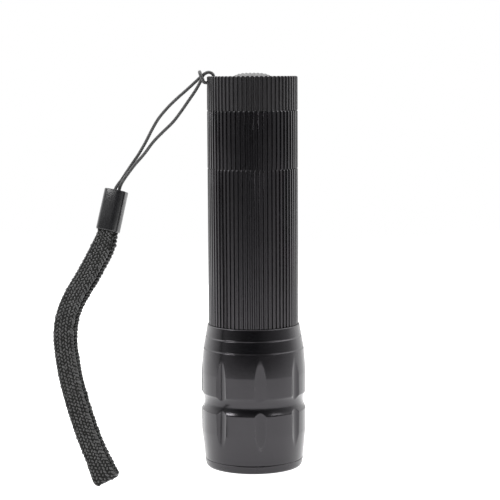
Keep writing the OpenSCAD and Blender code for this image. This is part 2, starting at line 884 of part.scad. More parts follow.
module switch_boot() {
    inner_r = boot_r - boot_wall;
    outer = crown(boot_r, z_boot_crown, boot_crown_h);
    inner = crown(inner_r, z_boot_crown, boot_crown_h - boot_wall);
    color("#0e0e0e")
        rotate_extrude()
            polygon(concat(
                [[inner_r, z_boot_flange], [cap_bore_r - part_gap, z_boot_flange],
                    [cap_bore_r - part_gap, z_cap_web], [boot_r, z_cap_web]],
                outer,
                [for (i = [len(inner) - 1:-1:0]) inner[i]]
            ));
}

// Round tube along a route, carried along without twisting
module lanyard_cord() {
    last = len(cord_route) - 1;
    aim = [for (i = [0:last]) heading(cord_route, i)];
    normals = [for (i = 0, n = square_to([0, 1, 0], aim[0]); i <= last;
        i = i + 1, n = square_to(n, aim[min(i, last)])) n];
    points = [for (i = [0:last]) for (j = [0:sides - 1])
        let (a = 360 * j / sides)
        cord_route[i] + cord_d / 2 * (cos(a) * normals[i] + sin(a) * cross(aim[i], normals[i]))];
    color("#2c2c2c")
        polyhedron(points, tube_faces(last + 1, sides));
}

// Places its children on the sleeve's foot, with +Z up the sleeve and +X across the strap
module on_sleeve() {
    up = unit(sleeve_top - sleeve_foot);
    across = square_to(strap_across, up);
    through = cross(up, across);
    multmatrix([
        [across[0], through[0], up[0], sleeve_foot[0]],
        [across[1], through[1], up[1], sleeve_foot[1]],
        [across[2], through[2], up[2], sleeve_foot[2]]
    ])
        children();
}

// Bar of rounded rectangular section
module rounded_bar(w, t, r, z0, z1) {
    translate([-w / 2 + r, -t / 2, z0])
        cube([w - 2 * r, t, z1 - z0]);
    translate([-w / 2, -t / 2 + r, z0])
        cube([w, t - 2 * r, z1 - z0]);
    for (x = [-1, 1])
        for (y = [-1, 1])
            translate([x * (w / 2 - r), y * (t / 2 - r), 0])
                rod(r, z0, z1);
}

module lanyard_sleeve() {
    corner_r = 2;
    pocket_r = 0.6;
    pocket_w = strap_pinch_w + sleeve_gap;
    pocket_t = strap_layers + strap_t + sleeve_gap;
    strand_pitch = 1.3;
    slot_w = strand_pitch + cord_d + 3 * sleeve_gap;
    slot_t = cord_d + 3 * sleeve_gap;
    slot_r = slot_t / 2 - seat_gap;
    color("#151517")
        on_sleeve()
            difference() {
                rounded_bar(sleeve_w, sleeve_t, corner_r, 0, sleeve_len);
                rounded_bar(pocket_w, pocket_t, pocket_r, -cut, sleeve_pocket_len);
                rounded_bar(slot_w, slot_t, slot_r, sleeve_pocket_len - cut, sleeve_len + cut);
            }
}

// Strap section: a flat band with rounded edges, each point as across and through
function strap_section(w) =
    let (x = w / 2, y = strap_t / 2, inset = 0.6)
    [[x, -y / 2], [x, y / 2], [x - inset, y], [-x + inset, y],
        [-x, y / 2], [-x, -y / 2], [-x + inset, -y], [x - inset, -y]];

// The band comes out of the sleeve pinched, widens at once and spreads flat at its fold
function strap_width(i) = i < 2 ? strap_pinch_w : i < len(strap_route) - 1 ? strap_w : strap_fold_w;

module wrist_strap() {
    last = len(strap_route) - 1;
    aim = [for (i = [0:last]) heading(strap_route, i)];
    across = [for (i = [0:last]) square_to(strap_across, aim[i])];
    back = [for (i = [0:last]) cross(across[i], aim[i])];
    half = strap_layers / 2;
    stations = concat(
        [for (i = [0:last]) [i, -90, 0]],
        [for (s = [1:strap_fold_steps - 1]) [last, -90 + 180 * s / strap_fold_steps, 1]],
        [for (i = [0:last]) [last - i, 90, 0]]
    );
    points = [for (s = stations) for (p = strap_section(strap_width(s[0])))
        let (i = s[0], outward = sin(s[1]) * back[i] + cos(s[1]) * aim[i] * s[2])
        strap_route[i] + half * outward + p[0] * across[i] + p[1] * outward];
    color("#1d1d1d")
        polyhedron(points, tube_faces(len(stations), sides));
}

head_shell();
bezel_ring();
lens();
lens_gasket();
neck_o_ring_front();
neck_o_ring_rear();
barrel();
led_pill();
led_board();
led_emitter();
led_dome();
led_leads();
driver_board();
driver_parts();
driver_spring();
cartridge_body();
cartridge_end();
cartridge_screws();
front_contact();
front_link();
rear_contact();
rear_link();
cell_springs();
aaa_cell_1();
aaa_cell_2();
aaa_cell_3();
tail_o_ring();
tail_collar();
tail_cap();
tail_spring();
switch_board();
switch_retainer();
switch_body();
switch_plunger();
switch_spring();
switch_boot();
lanyard_cord();
lanyard_sleeve();
wrist_strap();
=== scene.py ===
# %% [markdown]
# # Zoom flashlight
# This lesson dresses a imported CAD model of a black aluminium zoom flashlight. The flashlight stands
# on its bezel, and a wrist lanyard hangs from the rim of its tail cap. The CAD model is the fixed
# frame: it says where every piece is and what moves. Blender adds rounded edges, yarn and finishes.

# %% Load the frame
import math

import bmesh
import bpy
import numpy as np
from mathutils import Matrix, Vector


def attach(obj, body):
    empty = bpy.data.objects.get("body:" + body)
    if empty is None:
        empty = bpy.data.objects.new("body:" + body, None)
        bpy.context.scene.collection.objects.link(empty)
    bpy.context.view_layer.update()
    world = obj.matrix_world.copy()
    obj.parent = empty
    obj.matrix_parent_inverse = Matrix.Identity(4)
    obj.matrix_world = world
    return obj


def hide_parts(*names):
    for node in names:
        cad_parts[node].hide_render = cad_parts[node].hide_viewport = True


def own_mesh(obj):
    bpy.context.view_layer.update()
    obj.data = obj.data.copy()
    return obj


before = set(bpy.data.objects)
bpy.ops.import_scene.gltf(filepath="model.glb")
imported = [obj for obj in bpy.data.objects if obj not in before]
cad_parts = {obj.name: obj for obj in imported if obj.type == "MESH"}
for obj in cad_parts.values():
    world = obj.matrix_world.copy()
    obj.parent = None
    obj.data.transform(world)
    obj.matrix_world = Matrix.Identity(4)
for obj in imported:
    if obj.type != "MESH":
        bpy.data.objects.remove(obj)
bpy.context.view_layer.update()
MM = 0.001

# %% [markdown]
# ## Camera
# The photo is taken from a little above the table with a long lens, level with the tail cap. The lens
# is given in millimetres for a 36 mm sensor. The camera is rolled by a third of a degree, because
# the flashlight leans that much in the picture.

# %% Camera
LENS_MM, SENSOR_MM = 113.0, 36
CAMERA_PLACE = (-0.93, -469.4, 116.3)
CAMERA_PITCH = 6.2
CAMERA_ROLL = -0.32


def put(name, data):
    """Makes an object of a mesh, lamp or camera and links it to the scene."""
    thing = bpy.data.objects.new(name, data)
    bpy.context.scene.collection.objects.link(thing)
    return thing


camera_data = bpy.data.cameras.new("camera")
camera_data.lens = LENS_MM
camera_data.sensor_width = SENSOR_MM
camera_data.sensor_fit = "HORIZONTAL"
camera_data.clip_start = 0.01
camera = put("camera", camera_data)
pitch = Matrix.Rotation(math.radians(90 - CAMERA_PITCH), 4, "X")
roll = Matrix.Rotation(math.radians(CAMERA_ROLL), 4, "Z")
camera.matrix_world = Matrix.Translation(Vector(CAMERA_PLACE) * MM) @ pitch @ roll
bpy.context.scene.camera = camera
bpy.context.scene.view_settings.view_transform = "Standard"
print("camera at", [round(x, 4) for x in camera.location])

# %% [markdown]
# ## Helpers for meshes
# Most pieces of a flashlight are turned on a lathe, so the first helper spins rows of radius and
# height about the axis. A turned part never has a perfectly sharp edge: `soften` rounds the corners
# of a profile, and those small rounds are what catches the light.


# %% Mesh helpers
# Points nearer than MERGE_DIST become one, and edges shorter than SLIVER_DIST go, in metres
MERGE_DIST, SLIVER_DIST = 1e-7, 1e-8
# A round takes up at most this share of a side of its profile
ROUND_SHARE = 0.45


def build_mesh(name, points, faces, smooth_angle=32):
    """Plain mesh from points in millimetres, with doubles merged and hard edges marked."""
    mesh = bpy.data.meshes.new(name)
    mesh.from_pydata((np.asarray(points, float) * MM).tolist(), [], faces)
    work = bmesh.new()
    work.from_mesh(mesh)
    bmesh.ops.remove_doubles(work, verts=work.verts, dist=MERGE_DIST)
    bmesh.ops.dissolve_degenerate(work, edges=work.edges, dist=SLIVER_DIST)
    work.to_mesh(mesh)
    work.free()
    mesh.shade_smooth()
    mesh.set_sharp_from_angle(angle=math.radians(smooth_angle))
    return mesh


def grid_faces(columns, rows, loop_columns=True, loop_rows=True):
    """Quads of a grid whose points are stored column by column."""
    faces = []
    for i in range(columns if loop_columns else columns - 1):
        for j in range(rows if loop_rows else rows - 1):
            k, m = (i + 1) % columns, (j + 1) % rows
            faces.append((i * rows + j, k * rows + j, k * rows + m, i * rows + m))
    return faces


def soften(corners, steps=4):
    """Closed profile of (radius, height, round): each corner becomes an arc of that radius."""
    out = []
    for i, (r, z, size) in enumerate(corners):
        here = Vector((r, z))
        back = Vector(corners[i - 1][:2]) - here
        ahead = Vector(corners[(i + 1) % len(corners)][:2]) - here
        if size == 0:
            out.append((r, z))
            continue
        half = back.angle(ahead) / 2
        reach = min(size / math.tan(half), ROUND_SHARE * back.length, ROUND_SHARE * ahead.length)
        a, b = here + back.normalized() * reach, here + ahead.normalized() * reach
        for s in range(steps + 1):
            t = s / steps
            p = a * (1 - t) ** 2 + here * 2 * t * (1 - t) + b * t ** 2
            out.append((p.x, p.y))
    return out


def spin(name, rows, angles, shape=None, loop_rows=True):
    """Spins rows of (radius, height) about the axis. shape may change both from the angle."""
    table = np.array(rows, float)
    turn = np.asarray(angles, float)[:, None]
    r = np.repeat(table[None, :, 0], len(turn), axis=0)
    z = np.repeat(table[None, :, 1], len(turn), axis=0)
    if shape:
        r, z = shape(turn, r, z)
    points = np.stack([r * np.cos(turn), r * np.sin(turn), z], axis=-1).reshape(-1, 3)
    return build_mesh(name, points, grid_faces(len(turn), len(table), loop_rows=loop_rows))


def even_turn(count):
    """Angles of that many columns, evenly all round."""
    return np.arange(count) * 2 * math.pi / count


def belong(piece, body, node):
    """Puts a finished piece on its body, in place of its CAD node, which is hidden."""
    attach(piece, body)
    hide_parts(node)
    print(f"{piece.name}: {len(piece.data.polygons)} faces on {body}, for {node}")


def add_piece(name, mesh, material, body, node):
    """Makes a piece of a plain mesh."""
    piece = put(name, mesh)
    mesh.materials.append(material)
    belong(piece, body, node)
    return piece


def settle(piece):
    """Keeps the result of a piece's modifiers as its plain mesh."""
    graph = bpy.context.evaluated_depsgraph_get()
    mesh = bpy.data.meshes.new_from_object(
        piece.evaluated_get(graph), preserve_all_data_layers=True, depsgraph=graph
    )
    piece.modifiers.clear()
    piece.data = mesh


# %% [markdown]
# ## Helpers for nodes
# Both shaders and Geometry Nodes are trees. `add` makes one node and fills its sockets by name or
# number, from values or from other sockets, so that a tree reads from top to bottom.


# %% Node helpers
def add(tree, kind, inputs=None, **settings):
    """One node with these inputs and settings."""
    node = tree.nodes.new(kind)
    for key, value in settings.items():
        setattr(node, key, value)
    for key, value in (inputs or {}).items():
        if isinstance(value, bpy.types.NodeSocket):
            tree.links.new(value, node.inputs[key])
        else:
            node.inputs[key].default_value = value
    return node


def calc(tree, operation, *values):
    """Result of one sum in a tree."""
    return add(tree, "ShaderNodeMath", dict(enumerate(values)), operation=operation).outputs[0]


def between(tree, value, span, levels=(0.0, 1.0)):
    """Turns a value that runs over span into one that runs over levels, held at both ends."""
    inputs = {"Value": value, "From Min": span[0], "From Max": span[1]}
    inputs |= {"To Min": levels[0], "To Max": levels[1]}
    return add(tree, "ShaderNodeMapRange", inputs).outputs[0]


def start_group(name, kind, inputs, outputs):
    """New node group: inputs are (name, socket type, value), outputs are (name, socket type)."""
    tree = bpy.data.node_groups.new(name, kind)
    for label, socket, value in inputs:
        item = tree.interface.new_socket(label, in_out="INPUT", socket_type=socket)
        if value is not None:
            item.default_value = value
    for label, socket in outputs:
        tree.interface.new_socket(label, in_out="OUTPUT", socket_type=socket)
    return tree, tree.nodes.new("NodeGroupInput").outputs, tree.nodes.new("NodeGroupOutput").inputs


def run_tree(piece, tree, values):
    """Runs a Geometry Nodes tree on a piece with these inputs."""
    modifier = piece.modifiers.new(tree.name, "NODES")
    modifier.node_group = tree
    for item in tree.interface.items_tree:
        if item.in_out == "INPUT" and item.name in values:
            modifier[item.identifier] = values[item.name]


# %% [markdown]
# ## Shared effects for the finishes
# Three effects come back in many materials, so each is a node group that is built once. Fine grain is
# the tiny roughness of blasted metal or moulded plastic. Rubbed edges are the lighter lines where hands
# have worn the finish. Yarn is the fine fibre of cord and strap.

# %% Group: fine grain
grain_tree, g_in, g_out = start_group(
    "fine_grain",
    "ShaderNodeTree",
    [("Vector", "NodeSocketVector", None), ("Grain", "NodeSocketFloat", 9000.0),
     ("Blotch", "NodeSocketFloat", 160.0)],
    [("Height", "NodeSocketFloat"), ("Mottle", "NodeSocketFloat")],
)
fine = add(grain_tree, "ShaderNodeTexNoise",
           {"Vector": g_in["Vector"], "Scale": g_in["Grain"], "Detail": 2.0, "Roughness": 0.6})
broad = add(grain_tree, "ShaderNodeTexNoise",
            {"Vector": g_in["Vector"], "Scale": g_in["Blotch"], "Detail": 4.0, "Roughness": 0.65})
grain_tree.links.new(fine.outputs[0], g_out["Height"])
grain_tree.links.new(broad.outputs[0], g_out["Mottle"])
print("group:", grain_tree.name)

# %% Group: rubbed edges
# The wear shows only where its noise is in the upper part of this span
WEAR_SPAN = (0.42, 0.68)
rub_tree, g_in, g_out = start_group(
    "rubbed_edges",
    "ShaderNodeTree",
    [("Vector", "NodeSocketVector", None), ("Edge", "NodeSocketFloat", 0.0),
     ("Breakup", "NodeSocketFloat", 420.0), ("Amount", "NodeSocketFloat", 0.5)],
    [("Rub", "NodeSocketFloat")],
)
broken = add(rub_tree, "ShaderNodeTexNoise",
             {"Vector": g_in["Vector"], "Scale": g_in["Breakup"], "Detail": 5.0, "Roughness": 0.7})
patchy = between(rub_tree, broken.outputs[0], WEAR_SPAN)
worn = calc(rub_tree, "MULTIPLY", g_in["Edge"], patchy)
rub_tree.links.new(calc(rub_tree, "MULTIPLY", worn, g_in["Amount"]), g_out["Rub"])
print("group:", rub_tree.name)

# %% Group: yarn
yarn_tree, g_in, g_out = start_group(
    "yarn",
    "ShaderNodeTree",
    [("Vector", "NodeSocketVector", None), ("Fibre", "NodeSocketFloat", 5200.0),
     ("Patch", "NodeSocketFloat", 620.0)],
    [("Height", "NodeSocketFloat"), ("Shade", "NodeSocketFloat")],
)
fibre = add(yarn_tree, "ShaderNodeTexNoise",
            {"Vector": g_in["Vector"], "Scale": g_in["Fibre"], "Detail": 3.0, "Distortion": 0.6})
patch = add(yarn_tree, "ShaderNodeTexNoise",
            {"Vector": g_in["Vector"], "Scale": g_in["Patch"], "Detail": 3.0, "Roughness": 0.7})
yarn_tree.links.new(fibre.outputs[0], g_out["Height"])
yarn_tree.links.new(patch.outputs[0], g_out["Shade"])
print("group:", yarn_tree.name)

# %% [markdown]
# ## Finishes
# Black anodising is a hard, dyed oxide skin on aluminium. It could be a black metal, but dyed oxide hides
# the metal below it, so a nearly black, glossy plain surface is closer. What the eye then sees is mostly
# the room that it mirrors, and roughness says how sharply. Each turned piece has its own values, because
# the photo shows the cap duller than the barrel and the head. Rubber, plastic and plain metal share a
# second helper, and yarn and clear plastic have their own.


# %% Finish helpers
# Most of a noise lies in this span
NOISE_SPAN = (0.25, 0.75)
WORN_COLOUR = (0.09, 0.09, 0.092)
GLOSS_TINT = (0.98, 0.94, 1.0, 1)
SURFACE_IOR = 1.5


def new_material(name):
    """Material, its tree, its surface shader and the place on the piece."""
    material = bpy.data.materials.new(name)
    material.use_nodes = True
    tree = material.node_tree
    where = add(tree, "ShaderNodeTexCoord").outputs["Object"]
    return material, tree, tree.nodes["Principled BSDF"], where


def use_group(tree, group, inputs):
    """Outputs of a shared effect, placed with these values."""
    return add(tree, "ShaderNodeGroup", inputs, node_tree=group).outputs


def spread(tree, noise, low, high):
    """Maps a noise to a range."""
    return between(tree, noise, NOISE_SPAN, (low, high))


def blend_colour(tree, factor, dark, light):
    """Colour between two others."""
    return add(tree, "ShaderNodeMix", {0: factor, 6: (*dark, 1), 7: (*light, 1)},
               data_type="RGBA").outputs[2]


def bump(tree, skin, height, strength, distance):
    """Relief from a height, distance being its depth in metres."""
    node = add(tree, "ShaderNodeBump", {"Height": height, "Strength": strength, "Distance": distance})
    tree.links.new(node.outputs[0], skin.inputs["Normal"])


def anodised(name, dark, rough, rub):
    """Dyed oxide with fine grain, lighter where its edges are rubbed."""
    material, tree, skin, where = new_material(name)
    skin.inputs["IOR"].default_value = SURFACE_IOR
    skin.inputs["Specular Tint"].default_value = GLOSS_TINT
    grain = use_group(tree, grain_tree, {"Vector": where, "Grain": 9000.0, "Blotch": 150.0})
    edge = add(tree, "ShaderNodeAttribute", attribute_name="edge").outputs["Fac"]
    worn = use_group(tree, rub_tree, {"Vector": where, "Edge": edge, "Amount": rub})
    tree.links.new(blend_colour(tree, worn["Rub"], dark, WORN_COLOUR), skin.inputs["Base Color"])
    tree.links.new(spread(tree, grain["Mottle"], rough - 0.03, rough + 0.04), skin.inputs["Roughness"])
    bump(tree, skin, grain["Height"], 0.12, 0.00002)
    return material


def moulded(name, dark, light, rough, grain_size=6000.0, depth=0.15, metal=0.0):
    """Plastic, rubber, board or plain metal with mottled colour and fine grain."""
    material, tree, skin, where = new_material(name)
    skin.inputs["Metallic"].default_value = metal
    skin.inputs["IOR"].default_value = SURFACE_IOR
    grain = use_group(tree, grain_tree, {"Vector": where, "Grain": grain_size, "Blotch": 240.0})
    tree.links.new(blend_colour(tree, grain["Mottle"], dark, light), skin.inputs["Base Color"])
    tree.links.new(spread(tree, grain["Mottle"], rough - 0.05, rough + 0.05), skin.inputs["Roughness"])
    bump(tree, skin, grain["Height"], depth, 0.00003)
    return material


def yarned(name, dark, light, rough, sheen):
    """Yarn with patches of shade, fine fibre and some sheen."""
    material, tree, skin, where = new_material(name)
    skin.inputs["Specular IOR Level"].default_value = 0.3
    skin.inputs["Sheen Weight"].default_value = sheen
    skin.inputs["Sheen Roughness"].default_value = 0.45
    yarn = use_group(tree, yarn_tree, {"Vector": where})
    tree.links.new(blend_colour(tree, yarn["Shade"], dark, light), skin.inputs["Base Color"])
    tree.links.new(spread(tree, yarn["Shade"], rough - 0.06, rough + 0.08), skin.inputs["Roughness"])
    bump(tree, skin, yarn["Height"], 0.35, 0.00006)
    return material


def clear(name, colour, ior, rough):
    """Glass or clear silicone with faint moulding waves."""
    material, tree, skin, where = new_material(name)
    skin.inputs["Base Color"].default_value = (*colour, 1)
    skin.inputs["Transmission Weight"].default_value = 1.0
    skin.inputs["IOR"].default_value = ior
    grain = use_group(tree, grain_tree, {"Vector": where, "Grain": 900.0, "Blotch": 120.0})
    tree.links.new(spread(tree, grain["Mottle"], rough, rough + 0.03), skin.inputs["Roughness"])
    bump(tree, skin, grain["Height"], 0.03, 0.00002)
    return material


# %% Finishes of the visible pieces
head_finish = anodised("head_anodised", (0.002, 0.002, 0.0025), 0.20, 0.25)
bezel_finish = anodised("bezel_anodised", (0.005, 0.005, 0.0055), 0.26, 0.3)
barrel_finish = anodised("barrel_anodised", (0.003, 0.003, 0.0035), 0.18, 0.03)
collar_finish = anodised("collar_anodised", (0.002, 0.002, 0.0025), 0.18, 0.03)
cap_finish = anodised("cap_anodised", (0.010, 0.010, 0.010), 0.38, 0.04)
boot_finish = moulded("boot_rubber", (0.035, 0.035, 0.035), (0.058, 0.058, 0.057), 0.55, 7000.0, 0.25)
sleeve_finish = moulded("sleeve_plastic", (0.009, 0.009, 0.010), (0.015, 0.015, 0.016), 0.22, 8000.0, 0.12)
cord_finish = yarned("cord_yarn", (0.05, 0.05, 0.05), (0.09, 0.09, 0.09), 0.5, 0.2)
strap_finish = yarned("strap_yarn", (0.004, 0.004, 0.004), (0.115, 0.115, 0.115), 0.30, 0.10)
# The strap's core is painted near black as the shade inside the knitted tube, seen between the stitches
shade_core_finish = yarned("strap_shade_core", (0.002, 0.002, 0.002), (0.005, 0.005, 0.004), 0.8, 0.0)
lens_finish = clear("lens_clear", (0.96, 0.98, 0.99), 1.49, 0.01)
FINISHES = [head_finish, bezel_finish, barrel_finish, collar_finish, cap_finish, boot_finish,
            sleeve_finish, cord_finish, strap_finish, shade_core_finish, lens_finish]
print("finishes:", [finish.name for finish in FINISHES])

# %% [markdown]
# ## Lanyard cord
# The thin cord is twisted from four plies. It leaves the plastic sleeve, runs up to the cap, goes over
# the rim and out through a small hole, lies round its own two strands as a hitch and runs back to the
# sleeve. A curve with a bump would look twisted from afar. Here each ply is a small tube that winds
# round the route, so the twist is real and shows at the outline too.

# %% Route of the cord
# The thickness over all plies, the curve's parts to a stretch, and the CAD model's route, in millimetres
CORD_D, CORD_PARTS = 1.04, 6
CORD_ROUTE = [
    (-41.2, -9.9, 80), (-40.4, -9.2, 84.4), (-38.6, -7.6, 87.2), (-35.8, -6.6, 91.4),
    (-33.6, -5.9, 94.6), (-31.5, -5.2, 98.2), (-29.7, -4.4, 101.7), (-27.8, -3.6, 104.9),
    (-25.4, -2.7, 107.8), (-22.8, -1.5, 110.4), (-19.4, -0.1, 113.4), (-17.1, 0.5, 115.5),
    (-15.7, 0.55, 116.8), (-14.8, 0.55, 117.6), (-13.9, 0.55, 118.2), (-12.9, 0.6, 118.5),
    (-12, 0.6, 118.2), (-11.5, 0.6, 117.5), (-11.4, 0.6, 116.6), (-11.7, 0.6, 115.9),
    (-12.4, 0.6, 115.5), (-13.5, 0.65, 115.4), (-14.4, 1.25, 115.6), (-14.75, 1.68, 116.5),
    (-15.25, 1.7, 117.5), (-15.55, 1.1, 118.4), (-15.6, 0, 118.65), (-15.55, -1.1, 118.4),
    (-15.25, -1.7, 117.5), (-14.75, -1.68, 116.5), (-14.4, -1.25, 115.6), (-13.5, -0.65, 115.4),
    (-12.4, -0.6, 115.5), (-11.7, -0.6, 115.9), (-11.4, -0.6, 116.6), (-11.5, -0.6, 117.5),
    (-12, -0.6, 118.2), (-12.9, -0.6, 118.5), (-13.9, -0.55, 118.2), (-14.6, -0.55, 117.5),
    (-15.05, -0.55, 116.6), (-15.6, -0.65, 115.3), (-17, -1.1, 112.9), (-19, -2, 110),
    (-21.1, -2.8, 107), (-23.5, -3.8, 103.9), (-26.7, -5, 100.8), (-29.4, -6.1, 98),
    (-31.9, -7, 94.7), (-34.7, -7.9, 91.5), (-37.2, -9.1, 88.2), (-38.6, -9.6, 86),
    (-39.2, -9.2, 84.4), (-39.95, -9.9, 80),
]


def smooth_route(route, parts):
    """Catmull-Rom curve through the points, with that many parts to a stretch."""
    p = np.array(route, float)
    p = np.vstack([2 * p[0] - p[1], p, 2 * p[-1] - p[-2]])
    t = (np.arange(parts) / parts)[:, None]
    runs = []
    for a, b, c, d in zip(p, p[1:], p[2:], p[3:]):
        runs.append(0.5 * (2 * b + (c - a) * t + (2 * a - 5 * b + 4 * c - d) * t ** 2
                           + (3 * b - a - 3 * c + d) * t ** 3))
    return np.vstack([*runs, p[-2:-1]])


def along(path):
    """Length along a path at each of its points."""
    return np.concatenate([[0], np.cumsum(np.linalg.norm(np.diff(path, axis=0), axis=1))])


def resample(path, count):
    """That many points, evenly along a path."""
    s = along(path)
    at = np.linspace(0, s[-1], count)
    return np.stack([np.interp(at, s, path[:, k]) for k in range(3)], axis=1)


def unit(v):
    """Vectors of length 1."""
    return v / np.linalg.norm(v, axis=-1, keepdims=True)


def square_to(v, axis):
    """Part of v that is square to axis, as a unit vector."""
    return unit(v - np.sum(v * axis, axis=-1, keepdims=True) * axis)


def tube_faces(rings, sides):
    """Faces of a tube of that many rings, with both ends closed."""
    faces = [(a, d, c, b) for a, b, c, d in grid_faces(rings, sides, loop_columns=False)]
    last = (rings - 1) * sides
    faces.append(tuple(reversed(range(sides))))
    faces.append(tuple(range(last, last + sides)))
    return faces


def tube(centre, out, radius, sides):
    """Points and faces of a tube with closed ends. out says which way is up at each point."""
    heading = unit(np.gradient(centre, axis=0))
    u = square_to(out, heading)
    v = np.cross(heading, u)
    turn = even_turn(sides)[None, :, None]
    points = centre[:, None] + radius * (np.cos(turn) * u[:, None] + np.sin(turn) * v[:, None])
    return points.reshape(-1, 3), tube_faces(len(centre), sides)


cord_line = smooth_route(CORD_ROUTE, CORD_PARTS)
cord_len = along(cord_line)[-1]
print("cord length", round(cord_len, 1), "mm")

# %% Twisted cord
PLIES = 4
PLY_R = 0.32
TWIST_PITCH = 2.3
RING_STEP = 0.2
PLY_SIDES = 6

cord_path = resample(cord_line, int(cord_len / RING_STEP))
aim = unit(np.gradient(cord_path, axis=0))
side = [square_to(np.array([0.0, 1.0, 0.0]), aim[0])]
for a in aim[1:]:
    side.append(square_to(side[-1], a))
side = np.array(side)
lift = np.cross(aim, side)
lay_r = CORD_D / 2 - PLY_R
points, faces = [], []
for ply in range(PLIES):
    turn = 2 * math.pi * (along(cord_path) / TWIST_PITCH + ply / PLIES)
    out = np.cos(turn)[:, None] * side + np.sin(turn)[:, None] * lift
    ply_points, ply_faces = tube(cord_path + lay_r * out, out, PLY_R, PLY_SIDES)
    faces += [[len(points) + n for n in face] for face in ply_faces]
    points.extend(ply_points)
cord = add_piece("lanyard_cord_twist", build_mesh("lanyard_cord_twist", points, faces, smooth_angle=80),
                 cord_finish, "tail", "lanyard_cord")

# %% [markdown]
# ## Sleeve
# A moulded sleeve joins the cord to the strap. It is a block with rounded corners, a pocket for the
# strap below and a slot for the two strands above. It is lofted from rounded rectangles, row by row:
# up the outside, over the top, and down inside.

# %% Sleeve
SLEEVE_TOP = np.array([-40, -9.2, 84.2])
SLEEVE_FOOT = np.array([-42.6, -11.2, 72.4])
STRAP_TURN = math.radians(20)
STRAP_ACROSS = np.array([math.cos(STRAP_TURN), -math.sin(STRAP_TURN), 0])
# Rows of width, depth, corner round and height
SLEEVE_ROWS = [
    (6.2, 5.1, 1.75, 0.0), (6.48, 5.38, 1.88, 0.04), (6.64, 5.54, 1.97, 0.15), (6.7, 5.6, 2.0, 0.35),
    (6.7, 5.6, 2.0, 4.0), (6.66, 5.56, 2.0, 8.0), (6.66, 5.56, 2.0, 11.8), (6.6, 5.5, 1.97, 12.02),
    (6.45, 5.35, 1.88, 12.15), (6.2, 5.1, 1.75, 12.2), (3.6, 2.3, 1.1, 12.2), (3.3, 2.0, 0.98, 12.08),
    (3.24, 1.94, 0.95, 11.9), (3.24, 1.94, 0.95, 5.0), (5.6, 4.5, 0.6, 5.0), (5.6, 4.5, 0.6, 0.3),
    (5.8, 4.7, 0.7, 0.0),
]
CORNER_STEPS = 9


def rounded_rectangle(w, t, r):
    """Points of a rounded rectangle, anticlockwise from its right side."""
    out = []
    for quarter, (sx, sy) in enumerate([(1, 1), (-1, 1), (-1, -1), (1, -1)]):
        for s in range(CORNER_STEPS):
            a = math.pi / 2 * (quarter + s / (CORNER_STEPS - 1))
            out.append((sx * (w / 2 - r) + r * math.cos(a), sy * (t / 2 - r) + r * math.sin(a)))
    return out


sleeve_up = unit(SLEEVE_TOP - SLEEVE_FOOT)
sleeve_across = square_to(STRAP_ACROSS, sleeve_up)
sleeve_through = np.cross(sleeve_up, sleeve_across)
loops = np.array([[(x, y, z) for x, y in rounded_rectangle(w, t, r)] for w, t, r, z in SLEEVE_ROWS])
local = loops.transpose(1, 0, 2).reshape(-1, 3)
points = SLEEVE_FOOT + local @ np.array([sleeve_across, sleeve_through, sleeve_up])
sleeve_mesh = build_mesh("sleeve", points, grid_faces(4 * CORNER_STEPS, len(SLEEVE_ROWS)))
sleeve = add_piece("lanyard_sleeve_moulding", sleeve_mesh, sleeve_finish, "tail",
                   "lanyard_sleeve")

# %% [markdown]
# ## Wrist strap
# The strap is a flat knitted tube, doubled into a loop: it comes down from the sleeve, folds on the
# table and goes back up behind itself. It could be draped as cloth, but the photo shows its shape, so its
# middle line is a list of points. The two layers lie half their distance to either side of that line, and
# a half circle joins them at the fold.

# %% Route of the strap
STRAP_W, STRAP_PINCH_W, STRAP_FOLD_W, STRAP_T, STRAP_LAYERS = 6.8, 5.3, 8.0, 1.8, 2.4
STRAP_ROUTE = [
    (-41.75, -10.55, 76.3), (-42.6, -11.2, 72.4), (-43.9, -12.2, 68), (-46.4, -13.5, 63),
    (-49.1, -14.8, 58.2), (-51.8, -16, 53.8), (-53.8, -17.2, 49.2), (-54.7, -18.3, 44.4),
    (-54.4, -19.7, 38.4), (-53, -21.6, 30.8), (-50.7, -23.6, 22.8), (-48.1, -25.4, 15.4),
    (-45.4, -27.1, 9.1), (-42.8, -28.7, 3.44),
]
COURSE = 1.08
STRAP_PARTS, FOLD_STEPS = 8, 12
# The width grows from the sleeve's over this stretch, and again towards the fold
PINCH_STRETCH, FOLD_STRETCH = [4, 8.7], [0, 6.3]

middle = smooth_route(STRAP_ROUTE, STRAP_PARTS)
aim = unit(np.gradient(middle, axis=0))
across = square_to(np.repeat(STRAP_ACROSS[None], len(middle), axis=0), aim)
back = np.cross(across, aim)
half = STRAP_LAYERS / 2
fold = np.linspace(-math.pi / 2, math.pi / 2, FOLD_STEPS + 1)[1:-1, None]
fold_out = np.sin(fold) * back[-1] + np.cos(fold) * aim[-1]
outward = np.vstack([-back, fold_out, back[::-1]])


def there_and_back(values):
    """Values down the front layer, round the fold and up the back layer."""
    return np.concatenate([values, np.repeat(values[-1:], len(fold_out), axis=0), values[::-1]])


strap_line = there_and_back(middle) + half * outward
across = there_and_back(across)
from_sleeve = along(middle)
to_fold = from_sleeve[-1] - from_sleeve
width = np.interp(from_sleeve, PINCH_STRETCH, [STRAP_PINCH_W, STRAP_W])
width += np.interp(to_fold, FOLD_STRETCH, [STRAP_FOLD_W - STRAP_W, 0])
width = there_and_back(width)

strap_len = along(strap_line)[-1]
courses = int(round(strap_len / COURSE))
at = along(strap_line)
stations = np.linspace(0, strap_len, courses + 1)


def on_strap(values):
    """Values at the ends of the courses."""
    return np.stack([np.interp(stations, at, values[:, k]) for k in range(values.shape[1])], axis=1)


strap_path = on_strap(strap_line)
strap_out = unit(on_strap(outward))
strap_across = square_to(on_strap(across), strap_out)
strap_width = np.interp(stations, at, width)
print("strap length", round(strap_len, 1), "mm,", courses, "courses")
